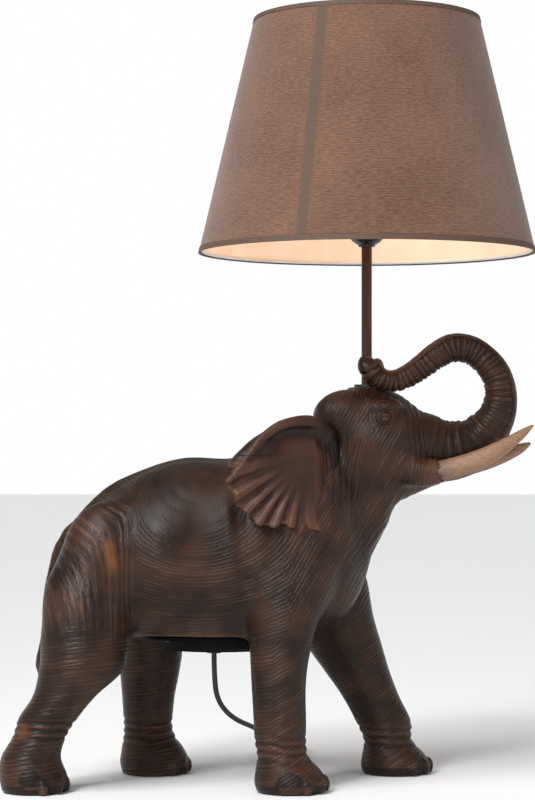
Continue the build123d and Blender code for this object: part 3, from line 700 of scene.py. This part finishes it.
def modelEar(side):
    c, s = math.cos(math.radians(ear["flare"])), math.sin(math.radians(ear["flare"]))
    inner, outer = sorted((side * 36, side * 122))
    low, high = (-62, inner, 228), (80, outer, 358)
    clay = Clay(low, high, clayStep["ear"])

    def flat(x, y, z):
        back = -(x - ear["hingeX"]) * c + (y - side * ear["hingeY"]) * side * s
        out = (x - ear["hingeX"]) * s + (y - side * ear["hingeY"]) * side * c
        return ear["hingeX"] - back, out

    def pleating(u, z):
        angle = np.arctan2(z - pleatMiddle[1], u - pleatMiddle[0])
        radius = np.sqrt((u - pleatMiddle[0]) ** 2 + (z - pleatMiddle[1]) ** 2)
        bend = angle + 0.16 * np.sin(3 * angle + 0.6) - 0.0015 * (radius - 40)
        lower = ease(-angle, 0.55, 0.95) + ease(angle, 2.9, 3.1)
        return bend, radius, np.clip(lower, 0, 1) * ease(radius, 28, 70)

    def flap(x, y, z):
        u, out = flat(x, y, z)
        bend, radius, weight = pleating(u, z)
        wave = np.cos(bend * 2 * ear["pleats"])
        sheet = weight * ear["pleatDepth"] * wave
        sheet = sheet + 4.5 * ease(radius, 45, 80) * ease(-z, -270, -245)  # the rim lifts away
        roof = 346 - 0.0105 * (u - 26) ** 2
        sheet = sheet - 7.5 * ease(z, roof - 34, roof - 11) * ease(u, -26, 6)
        sheet = sheet + 2.5 * near(u, 0, z, (8, 0, 300), 60)
        sheet = sheet - 13 * ease(u, 36, 60) * ease(z, 244, 262)  # its front sinks into the neck
        rim = 1.7 * weight * wave * ease(radius, 50, 62)
        edge = outlineReach(earOutline, u, z + 0 * u) - rim + 1.2
        thick = ear["thickness"] * (1.15 - 0.35 * ease(radius, 40, 75))
        return softMax(abs(out - sheet) - thick / 2, edge, 3.2)

    clay.add((np.array(low, float), np.array(high, float), flap), 1)

    def there(u, z, out):
        back = ear["hingeX"] - u
        return (ear["hingeX"] - back * c + out * s, side * (ear["hingeY"] + back * s + out * c), z)

    rimLine = [
        (56, 335, -14), (35, 343.5, -2.5), (12.5, 342.3, 1), (1.5, 339.2, 1.5), (-9.5, 332.2, 1.5),
        (-18.5, 325, 1.5), (-27.8, 313.8, 1), (-38, 301, 0.5), (-48, 289, 0),
    ]
    root = [(61, 324, -22), (63, 300, -20), (64, 275, -17), (64, 256, -14)]
    web = [(44, 330, -20), (20, 329, -24), (-4, 318, -26), (-26, 302, -26)]
    rolls = [  # the folded rim, the root along the cheek and the web behind the flap
        (rimLine, [7, 6, 5, 4.6, 4.2, 3.9, 3.3, 2.8, 2.2], 26, 4),
        (root, [13, 13, 12, 10], 18, 14),
        (web, [13, 13, 13, 11], 18, 9),
    ]
    for line, radii, count, soft in rolls:
        clay.add(Rope([there(*p) for p in line], radii, count).shape(), soft)

    def lines(x, y, z):
        u, out = flat(x, y, z)
        bend, radius, weight = pleating(u, z)
        fine = 0.45 * weight * groove(bend * 33 / math.pi, 2)
        front = ease(u, 42, 50) * (1 - ease(u, 60, 66)) * (1 - ease(z, 318, 332))
        return fine + 1.1 * front * groove((u - 0.05 * (z - 290) + np.sin(z * 0.1)) / 4.8, 1.8)

    clay.push(low, high, lines)

    def strokes(points):
        x, y, z = points.T
        u, _ = flat(x, y, z)
        bend, radius, weight = pleating(u, z)
        none = np.zeros((len(x), 3))
        return [np.stack([bend * 36, radius, 0.25 + 0.75 * weight], 1), none, none]

    return clay, strokes


trunkRope = Rope(trunkPoints, trunkRadii, 64)


def modelTrunk():
    clay = Clay((76, -46, 284), (240, 40, 434), clayStep["trunk"])
    clay.add(trunkRope.shape(), 1)
    clay.add(ball((86.8, -21.5, 400), (4.4, 8, 7), -12), 4)
    clay.add(ball((101.2, -21.5, 398), (4.4, 7.5, 5.2), 8), 4)
    clay.add(ball((93.5, -27, 394), (9.5, 5, 6)), 5)
    for x, z, r in ((90.2, 404.5, 3.0), (97.6, 403.5, 3.2)):
        clay.cut(ball((x, -19.5, z), (r, 4.4, 6.5)), 1.6)

    def rings(x, y, z):
        _, place, side = trunkRope.measure(x, y, z, True)
        wander = 0.9 * np.sin(place * 0.21) + 0.5 * np.sin(place * 0.53 + y * 0.08)
        wander = wander + 0.35 * np.sin(y * 0.35 + place * 0.9)
        band = 1 - ease(side, ring["bandEdge"], ring["bandEdge"] + 0.08)
        tip = 0.6 + 0.4 * (1 - ease(place, 330, 350))
        rows = groove((place + wander) / ring["pitch"], 1.7) * band * ease(place, 12, 30) * tip
        border = groove(np.clip((side - ring["bandEdge"]) / 0.3, -0.5, 0.5), 1.5) * ease(place, 40, 60)
        fine = 0.22 * groove((place * 0.4 + y * 0.6) / 3.1, 1) * (1 - band)
        return (ring["depth"] * rows + 0.9 * border + fine) * (1 - ease(place, 372, 384))

    clay.push((76, -46, 284), (240, 40, 434), rings)
    return clay


def pieceFrom(name, points, quads, facts, keep=None):  # a closed skin with its facts as attributes
    quads = quads if keep is None else quads[keep]
    used, faces = np.unique(quads, return_inverse=True)
    faces = faces.reshape(quads.shape)
    data = bpy.data.meshes.new(name)
    data.from_pydata((points[used] * mm).tolist(), [], faces.tolist())
    for label, values in facts.items():
        vector = values.ndim == 2
        made = data.attributes.new(label, "FLOAT_VECTOR" if vector else "FLOAT", "POINT")
        made.data.foreach_set("vector" if vector else "value", values[used].astype(np.float32).ravel())
    shape = bmesh.new()
    shape.from_mesh(data)
    rims = [edge for edge in shape.edges if edge.is_boundary]
    if rims:
        for edge in rims:
            edge.smooth = False
        bmesh.ops.holes_fill(shape, edges=rims, sides=0)
    for face in shape.faces:
        face.smooth = True
    if shape.calc_volume(signed=True) < 0:
        bmesh.ops.reverse_faces(shape, faces=shape.faces)
    shape.to_mesh(data)
    shape.free()
    data.materials.append(resinMaterial)
    piece = placed(name, data)
    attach(piece, lampBody)
    print(name, len(data.polygons), "faces")
    return piece


# the resin's finish: dark brown with carved strokes, glossy in places; painted highlight and rubbed wear on
# its ridges, painted shade in its creases

resin = {
    "deep": (0.0022, 0.0016, 0.0015), "dark": (0.021, 0.0096, 0.0058), "brown": (0.060, 0.0262, 0.0150),
    "wearAndHighlight": (0.150, 0.067, 0.040), "olive": (0.042, 0.031, 0.017), "orange": (0.20, 0.072, 0.020),
    "strokePitches": (3.2, 3.3, 3.3), "strokeLength": 26, "strokeDepth": 0.75, "strokeDistance": 0.0009,
}


def resinFinish():
    paint = Paint("carvedResin")
    cavity = paint.attribute("cavity")
    wide = paint.attribute("wide")
    smooth = paint.attribute("smooth")
    height = 0
    for index, pitch in enumerate(resin["strokePitches"]):
        flow = paint.node("ShaderNodeAttribute", {"attribute_name": f"strokes{index}"}, {}, "Vector")
        across, along, weight = paint.split(flow)
        place = paint.joined(across / pitch, along / resin["strokeLength"])
        hairs = paint.noise(2.4, 2.5, place, 0.6)
        breaks = paint.noise(0.42, 1.0, place)
        wave = (across * (2 * math.pi / pitch) + breaks * 8 + hairs * 3).sine() * 0.5 + 0.5
        line = (wave * 0.55 + hairs.between(0.34, 0.68) * 0.5) * (breaks.between(0.28, 0.62) * 0.7 + 0.3)
        height = line * weight + height
    grain = paint.noise(900, 3)
    blotch = paint.noise(26, 4)
    patch = paint.noise(9, 3)
    hollow = cavity.between(0.05, 1.3)
    ridge = (cavity * -1).between(0.1, 1.1)
    sunk = wide.between(0.8, 5.5)
    cut = height.between(0.25, 0.95)
    colour = paint.mix(blotch.between(0.35, 0.7), resin["dark"], resin["brown"])
    colour = paint.mix(smooth.between(0.1, 0.9) * 0.75, colour, resin["olive"])
    colour = paint.mix(patch.between(0.52, 0.78) * 0.25, colour, resin["wearAndHighlight"])
    colour = paint.mix((1 - cut) * 0.42, colour, resin["deep"])
    colour = paint.mix(cut * (blotch.between(0.3, 0.75) * 0.14 + 0.05), colour, resin["wearAndHighlight"])
    # painted highlight with some rubbed wear: the ridges lighter and redder
    colour = paint.mix(ridge * 0.42, colour, resin["wearAndHighlight"])
    # painted shade: creases and broad hollows darkened
    colour = paint.mix(hollow * 0.85, colour, resin["deep"])
    colour = paint.mix(sunk * 0.75, colour, resin["deep"])
    # orange-brown on a streak by the near hip, a patch by the near hind foot and along the trunk's band
    orangeShare = paint.attribute("orange") * (blotch.between(0.25, 0.7) * 0.8 + 0.2)
    colour = paint.mix(orangeShare, colour, resin["orange"])
    rough = 0.27 + blotch * 0.18 + hollow * 0.2 + cut * -0.04 + grain * 0.06
    bump = paint.bump(height, resin["strokeDepth"], resin["strokeDistance"])
    bump = paint.bump(grain, 0.12, 0.0002, bump)
    return paint.finish(Base_Color=colour, Roughness=rough, Normal=bump, Specular_IOR_Level=0.2)


resinMaterial = resinFinish()


def facts(clay, points, strokes, smooth=None, orange=None):
    nothing = np.zeros(len(points))
    cavity = -clay.sample(clay.hollows(3.2), points)
    wide = -clay.sample(clay.hollows(11), points)
    made = {"cavity": cavity, "wide": wide, "smooth": nothing if smooth is None else smooth,
            "orange": nothing if orange is None else orange}
    for index, values in enumerate(strokes):
        made[f"strokes{index}"] = values
    return made


hide = modelHide()
points, quads = hide.mesh()
x, y, z = points.T
spine = (1 - ease(abs(y), 12, 26)) * ease(z, 225, 250) * (1 - ease(x, -50, -20))
streak = (1 - ease(abs(x + 151 + 0.2 * (z - 230)), 1, 8)) * (1 - ease(y, -40, -20))
streak = streak * ease(z, 196, 214) * (1 - ease(z, 228, 240))
patchy = near(x, y, z, (-233, -85, 60), 12)
hideFacts = facts(hide, points, hideStrokes(points), spine, np.maximum(0.6 * streak, 0.5 * patchy))
middle = points[quads].mean(1)
rear = middle[:, 0] < -58
headPart = (middle[:, 0] > 57) & (middle[:, 2] > 212)
pieceFrom("elephantRear", points, quads, hideFacts, rear)
frontHide = pieceFrom("elephantFront", points, quads, hideFacts, ~rear & ~headPart)
pieceFrom("elephantHead", points, quads, hideFacts, headPart)
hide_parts("elephant_casting")

trunkClay = modelTrunk()
points, quads = trunkClay.mesh()
_, place, side = trunkRope.measure(*points.T, True)
band = ease(side, 0.68, 0.8) * ease(place, 30, 60)
trunkStrokes = [
    np.stack([place * 1.3, side * 12, 0.5 * (1 - band)], 1), np.stack([side * 26, place * 1.4, band], 1),
    np.zeros((len(place), 3)),
]
trunkFacts = facts(trunkClay, points, trunkStrokes, None, 0.16 * band)
pieceFrom("trunk", points, quads, trunkFacts)

for side, name in ((-1, "rightEar"), (1, "leftEar")):
    earClay, earStrokes = modelEar(side)
    points, quads = earClay.mesh()
    pieceFrom(name, points, quads, facts(earClay, points, earStrokes(points)))

print("elephant made")

# tusks: pale carved wood, greyer at the sockets


def tuskFinish():
    paint = Paint("tuskWood")
    along = paint.attribute("along")
    streaks = paint.noise(3.2, 4.0, paint.stretched((28, 240, 240)), 0.62)
    clouds = paint.noise(60, 2)
    colour = paint.mix(streaks.between(0.25, 0.75), (0.185, 0.094, 0.052), (0.32, 0.180, 0.105))
    colour = paint.mix(clouds.between(0.5, 0.75) * 0.25, colour, (0.21, 0.110, 0.064))
    colour = paint.mix((1 - along.between(0.07, 0.30)) * 0.8, colour, (0.105, 0.070, 0.058))
    colour = paint.mix(along.between(0.86, 1.0) * 0.35, colour, (0.22, 0.12, 0.07))
    return paint.finish(Base_Color=colour, Roughness=0.42 + streaks * 0.16,
                        Normal=paint.bump(streaks, 0.35, 0.0006))


tuskMaterial = tuskFinish()


def tusk(name, line, thickness, node, around=36, rows=90):
    _, path, radii = smoothPath(line, thickness, rows)
    points, along, faces = [], [], []
    for i, (p, r) in enumerate(zip(path, radii)):
        way = Vector(path[min(i + 1, rows - 1)] - path[max(i - 1, 0)]).normalized()
        across = way.cross(Vector((0, 1, 0))).normalized()
        up = across.cross(way)
        for j in range(around):
            turn = 2 * math.pi * j / around
            facet = 1 + 0.022 * math.cos(5 * turn + 1.3 + 0.04 * i) + 0.012 * math.sin(9 * turn + 0.05 * i)
            spot = Vector(p) + (across * math.cos(turn) + up * math.sin(turn)) * (r * facet)
            points.append(spot * mm)
            along.append(i / (rows - 1))
            if i:
                k = (j + 1) % around
                low, high = (i - 1) * around, i * around
                faces.append((low + j, low + k, high + k, high + j))
    faces += [tuple(range(around))[::-1], tuple(range((rows - 1) * around, rows * around))]
    piece = newPiece(name, points, faces, tuskMaterial)
    made = piece.data.attributes.new("along", "FLOAT", "POINT")
    made.data.foreach_set("value", along)
    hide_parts(node)


tusk("rightTusk", rightTuskLine, tuskRadii, "right_tusk")
tusk("leftTusk", leftTuskLine, farTuskRadii, "left_tusk")
print("tusks made")

# the shade: a stretched cone of brown cloth over its liner, bound at both rims

shadePlan = {
    "x": 0.091, "bottom": 0.505, "top": 0.728, "bottomRadius": 0.1604, "topRadius": 0.1074, "cloth": 0.0008,
    "seams": (-114, 72), "overlap": 0.0004, "overlapReach": 0.0065,
}


class Tree:  # a geometry node tree with named inputs
    def __init__(self, name):
        self.tree = bpy.data.node_groups.new(name, "GeometryNodeTree")
        self.tree.interface.new_socket("Geometry", in_out="OUTPUT", socket_type="NodeSocketGeometry")
        self.start = self.tree.nodes.new("NodeGroupInput")
        self.values = {}

    def value(self, name, kind, amount):
        made = self.tree.interface.new_socket(name, in_out="INPUT", socket_type=kind)
        self.values[made.identifier] = amount
        return self.start.outputs[name]

    def node(self, kind, settings, sockets, output=0):
        made = self.tree.nodes.new(kind)
        for key, value in settings.items():
            setattr(made, key, value)
        for key, value in sockets.items():
            if isinstance(value, bpy.types.NodeSocket):
                self.tree.links.new(value, made.inputs[key])
            else:
                made.inputs[key].default_value = value
        return made.outputs[output]

    def piece(self, name, result, material, body):
        solid = self.node("GeometryNodeRealizeInstances", {}, {"Geometry": result})
        painted = self.node("GeometryNodeSetMaterial", {}, {"Geometry": solid, "Material": material})
        end = self.tree.nodes.new("NodeGroupOutput")
        self.tree.links.new(painted, end.inputs[0])
        maker = bpy.data.objects.new(name + "Maker", bpy.data.meshes.new(name + "Maker"))
        scene.collection.objects.link(maker)
        modifier = maker.modifiers.new("rule", "NODES")
        modifier.node_group = self.tree
        for identifier, amount in self.values.items():
            modifier[identifier] = amount
        bpy.context.view_layer.update()
        data = bpy.data.meshes.new_from_object(maker.evaluated_get(bpy.context.evaluated_depsgraph_get()))
        bpy.data.objects.remove(maker)
        data.name = name
        piece = placed(name, data)
        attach(piece, body)
        return piece


cloth = {
    "light": (0.215, 0.112, 0.074), "dark": (0.034, 0.016, 0.010), "seam": (0.070, 0.055, 0.044),
    "seamShare": 0.7, "glow": 0.05, "glowDark": (0.20, 0.075, 0.04), "glowLight": (0.42, 0.17, 0.09),
    "weftPitch": 0.00165, "warpPitch": 0.0011, "middleRadius": 0.135,
}


def clothFinish():
    paint = Paint("shadeCloth")
    ax, ay, height = paint.split(paint.place)
    lean = math.radians(shadePlan["seams"][0] + 180)
    ax = ax - shadePlan["x"]
    turned = [ax * math.cos(lean) + ay * math.sin(lean), ay * math.cos(lean) - ax * math.sin(lean)]
    around = turned[1].maths("ARCTAN2", turned[0]) * cloth["middleRadius"]
    flat = paint.joined(around, height)
    slubs = paint.noise(1.0, 3.0, paint.stretched((170, 720, 1), flat), 0.65)
    warp = paint.noise(1.0, 2.0, paint.stretched((900, 150, 1), flat))
    sway = paint.noise(38.0, 2.0, flat)
    wefts = ((height * (2 * math.pi / cloth["weftPitch"])) + sway * 14 + slubs * 3).sine() * 0.5 + 0.5
    warps = ((around * (2 * math.pi / cloth["warpPitch"])) + warp * 3).sine() * 0.5 + 0.5
    thread = wefts * 0.45 + warps * 0.2 + slubs.between(0.3, 0.72) * 0.55
    clouds = paint.noise(14, 3)
    shade = thread * 0.75 + clouds.between(0.3, 0.7) * 0.18
    colour = paint.mix(shade.clamped(), cloth["dark"], cloth["light"])
    for angle in shadePlan["seams"]:  # painted shade at the cloth's overlaps, where the double cloth lets less of the bulb's light through
        c, s = math.cos(math.radians(angle)), math.sin(math.radians(angle))
        off = (ay * c - ax * s).maths("ABSOLUTE")
        doubleShade = (1 - off.between(0.0035, 0.0072)) * (ax * c + ay * s).between(0.0, 0.01)
        colour = paint.mix(doubleShade * cloth["seamShare"], colour, cloth["seam"])
    glow = paint.mix(shade.clamped(), cloth["glowDark"], cloth["glowLight"])
    return paint.finish(Base_Color=colour, Roughness=0.78 + thread * 0.12,
                        Normal=paint.bump(thread, 0.35, 0.0004), Sheen_Weight=0.25, Sheen_Roughness=0.5,
                        Specular_IOR_Level=0.25, Emission_Color=glow, Emission_Strength=cloth["glow"])


clothTree = Tree("shadeCloth")
cone = clothTree.node("GeometryNodeMeshCone", {"fill_type": "NONE"}, {
    "Vertices": 224, "Side Segments": 34,
    "Radius Bottom": clothTree.value("Bottom Radius", "NodeSocketFloat", shadePlan["bottomRadius"]),
    "Radius Top": clothTree.value("Top Radius", "NodeSocketFloat", shadePlan["topRadius"]),
    "Depth": clothTree.value("Height", "NodeSocketFloat", shadePlan["top"] - shadePlan["bottom"])})
ontoPole = {"Geometry": cone, "Translation": (shadePlan["x"], 0, shadePlan["bottom"])}
moved = clothTree.node("GeometryNodeTransform", {}, ontoPole)
smooth = clothTree.node("GeometryNodeSetShadeSmooth", {}, {"Geometry": moved})
shadeCloth = clothTree.piece("shadeCloth", smooth, clothFinish(), "shade")
for spot in shadeCloth.data.vertices:  # the cloth is double at its seams
    for angle in shadePlan["seams"]:
        c, s = math.cos(math.radians(angle)), math.sin(math.radians(angle))
        away = spot.co.x - shadePlan["x"]
        if away * c + spot.co.y * s > 0 and abs(spot.co.y * c - away * s) < shadePlan["overlapReach"]:
            spot.co.x += shadePlan["overlap"] * c
            spot.co.y += shadePlan["overlap"] * s
wall = shadeCloth.modifiers.new("wall", "SOLIDIFY")
wall.thickness = shadePlan["cloth"]
wall.offset = -1
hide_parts("shade_fabric", "fabric_seams")


binding = {"thick": 0.0006, "fold": 0.0003, "turnIn": 0.0009, "inner": 0.0017, "around": 224, "steps": 10}


def bindRim(name, node, low, high, bottom, lip):  # a tape folded over a rim, from its outside to its inside
    heights = [low + (high - low) * i / binding["steps"] for i in range(binding["steps"] + 1)]
    radii = [shadePlan["bottomRadius"] + slope * (z - shadePlan["bottom"]) for z in heights]
    outside = list(zip(radii, heights))
    if not bottom:
        outside.reverse()
    rimR, rimZ = outside[0]
    lipZ = rimZ + lip if bottom else rimZ - lip
    lipR = rimR + slope * (lipZ - rimZ) - binding["inner"]
    outline = [(r + binding["thick"], z) for r, z in outside[::-1]]
    outline += [(rimR + binding["fold"], rimZ), (rimR - binding["turnIn"], rimZ)]
    outline += [(rimR - binding["inner"], rimZ)]
    outline += [(lipR, lipZ), (lipR + 0.0004, lipZ)]
    outline += [(r - 0.0002, z) for r, z in outside[1:]]
    points, faces = [], []
    count, around = len(outline), binding["around"]
    for i in range(around):
        turn = 2 * math.pi * i / around
        points += [(shadePlan["x"] + r * math.cos(turn), r * math.sin(turn), z) for r, z in outline]
        here, ahead = i * count, (i + 1) % around * count
        for j in range(count):
            n = (j + 1) % count
            faces.append((here + j, ahead + j, ahead + n, here + n))
    piece = newPiece(name, points, faces, tapeMaterial, "shade")
    piece.data.set_sharp_from_angle(angle=math.radians(50))
    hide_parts(node)


tapePaint = Paint("bindingTape")
tapeRibs = tapePaint.noise(1300, 2)
tapeMaterial = tapePaint.finish(
    Base_Color=tapePaint.mix(tapeRibs.between(0.3, 0.7), (0.050, 0.030, 0.021), (0.115, 0.066, 0.044)),
    Roughness=0.7, Normal=tapePaint.bump(tapeRibs, 0.3, 0.0003))
slope = (shadePlan["topRadius"] - shadePlan["bottomRadius"]) / (shadePlan["top"] - shadePlan["bottom"])
bindRim("bottomTrim", "bottom_trim", shadePlan["bottom"], shadePlan["bottom"] + 0.005, True, 0.0034)
bindRim("topTrim", "top_trim", shadePlan["top"] - 0.004, shadePlan["top"], False, 0.003)
print("shade made")

# finishes for the turned, cast and moulded parts


def plain(name, light, dark, rough, scale=240, bump=0.12, metal=0.0, grain=(1, 1, 1), **more):
    paint = Paint(name)
    fine = paint.noise(scale, 4, paint.stretched(grain))
    broad = paint.noise(scale / 14, 2)
    colour = paint.mix((fine * 0.6 + broad * 0.5).between(0.3, 0.8), dark, light)
    return paint.finish(Base_Color=colour, Roughness=rough + fine * 0.14 - 0.05, Metallic=metal,
                        Normal=paint.bump(fine, bump, 0.0003), **more)


def grey(level):
    return (level, level, level)


finishes = [  # a finish and the nodes that have it
    (plain("brownTube", (0.070, 0.022, 0.009), (0.038, 0.012, 0.005), 0.32, 500, 0.1, 0.55, (1, 1, 0.05)),
     ["pole"]),
    (plain("blackSteel", (0.016, 0.015, 0.015), grey(0.008), 0.4),
     ["head_flange", "dome_grub_screw", "pan_screws"]),
    (plain("zincSteel", (0.62, 0.62, 0.60), (0.42, 0.42, 0.41), 0.32, 300, 0.1, 1.0),
     ["lower_nut", "lower_washer", "terminal_screws", "grip_screw"]),
    (plain("blackPhenolic", grey(0.011), grey(0.006), 0.26),
     ["lampholder_dome", "lampholder_barrel", "shade_ring", "switch_knob"]),
    (plain("holderCeramic", (0.80, 0.78, 0.72), (0.70, 0.67, 0.6), 0.3), ["holder_core"]),
    (plain("brass", (0.78, 0.56, 0.24), (0.62, 0.42, 0.16), 0.28, 400, 0.1, 1.0),
     ["screw_shell", "centre_contact", "switch_contact", "filament_spreader"]),
    (plain("bulbCap", (0.72, 0.70, 0.66), (0.52, 0.5, 0.47), 0.3, 400, 0.1, 1.0),
     ["bulb_cap", "bulb_contact"]),
    (plain("whiteWire", (0.82, 0.81, 0.78), (0.72, 0.71, 0.68), 0.38),
     ["shade_frame", "top_ring", "bottom_ring"]),
    (plain("blackPan", grey(0.004), grey(0.002), 0.6, 420, 0.25, Specular_IOR_Level=0.08), ["belly_pan"]),
    (plain("blackRubber", grey(0.015), grey(0.009), 0.6), ["cord_bush"]),
    (plain("blackNylon", grey(0.018), grey(0.010), 0.45), ["cord_grip"]),
    (leadMaterial, ["internal_lead"]),
    (plain("blackStrap", grey(0.020), grey(0.007), 0.7, 1500, 0.5, 0, (1, 0.15, 1)), ["hank_tie"]),
    (plain("blackPlug", grey(0.014), grey(0.009), 0.4, 700, 0.2), ["plug_body"]),
    (plain("plugMetal", (0.74, 0.72, 0.66), (0.6, 0.57, 0.5), 0.25, 500, 0.08, 1.0), ["plug_pins"]),
    (plain("felt", (0.030, 0.026, 0.022), (0.012, 0.010, 0.009), 0.92, 1500, 0.8, Sheen_Weight=0.4),
     ["foot_pads"]),
]

linerPaint = Paint("shadeLiner")
linerFlow = linerPaint.noise(30, 3)
linerWeave = linerPaint.noise(1100, 2)
linerTone = linerPaint.mix(linerFlow.between(0.3, 0.7), (0.90, 0.70, 0.53), (0.93, 0.76, 0.60))
linerGlow = linerPaint.mix(linerFlow.between(0.3, 0.7), (1.0, 0.60, 0.36), (1.0, 0.66, 0.42))
linerMaterial = linerPaint.finish(
    Base_Color=linerTone, Roughness=0.62 + linerWeave * 0.1, Normal=linerPaint.bump(linerWeave, 0.1, 0.0002),
    Emission_Color=linerGlow, Emission_Strength=0.26)


def glassFinish(name, colour, scale, rough, vary, clear, index):
    paint = Paint(name)
    swirl = paint.noise(scale, 2)
    return paint.finish(Base_Color=colour, Roughness=swirl * vary + rough,
                        Transmission_Weight=clear, IOR=index, Normal=paint.bump(swirl, 0.05, 0.0005))


filamentPaint = Paint("filament")
filamentGrain = filamentPaint.noise(900, 2)
filamentMaterial = filamentPaint.finish(
    Base_Color=(1.0, 0.75, 0.4), Roughness=0.5 + filamentGrain * 0.1,
    Emission_Color=filamentPaint.mix(filamentGrain, (1.0, 0.62, 0.30), (1.0, 0.72, 0.42)),
    Emission_Strength=9.0)
finishes += [
    (linerMaterial, ["shade_liner"]),
    (glassFinish("bulbGlass", (1.0, 0.97, 0.92), 60, 0.01, 0.05, 1.0, 1.45), ["bulb_glass"]),
    (glassFinish("stemGlass", (0.9, 0.93, 0.92), 90, 0.05, 0.1, 0.85, 1.5), ["bulb_stem"]),
    (filamentMaterial, ["bulb_filaments"]),
]

for material, names in finishes:
    for name in names:
        data = nodes[name].data
        data.materials.clear()
        data.materials.append(material)
print("finishes given")

# the floor

floorHalf = 14
floorData = bpy.data.meshes.new("floor")
corners = [(x * floorHalf, y * floorHalf, 0) for x, y in ((-1, -1), (1, -1), (1, 1), (-1, 1))]
floorData.from_pydata(corners, [], [(0, 1, 2, 3)])
floor = bpy.data.objects.new("floor", floorData)
scene.collection.objects.link(floor)
floorPaint = Paint("floor")
floorData.materials.append(floorPaint.finish(Base_Color=grey(0.92), Roughness=0.8))
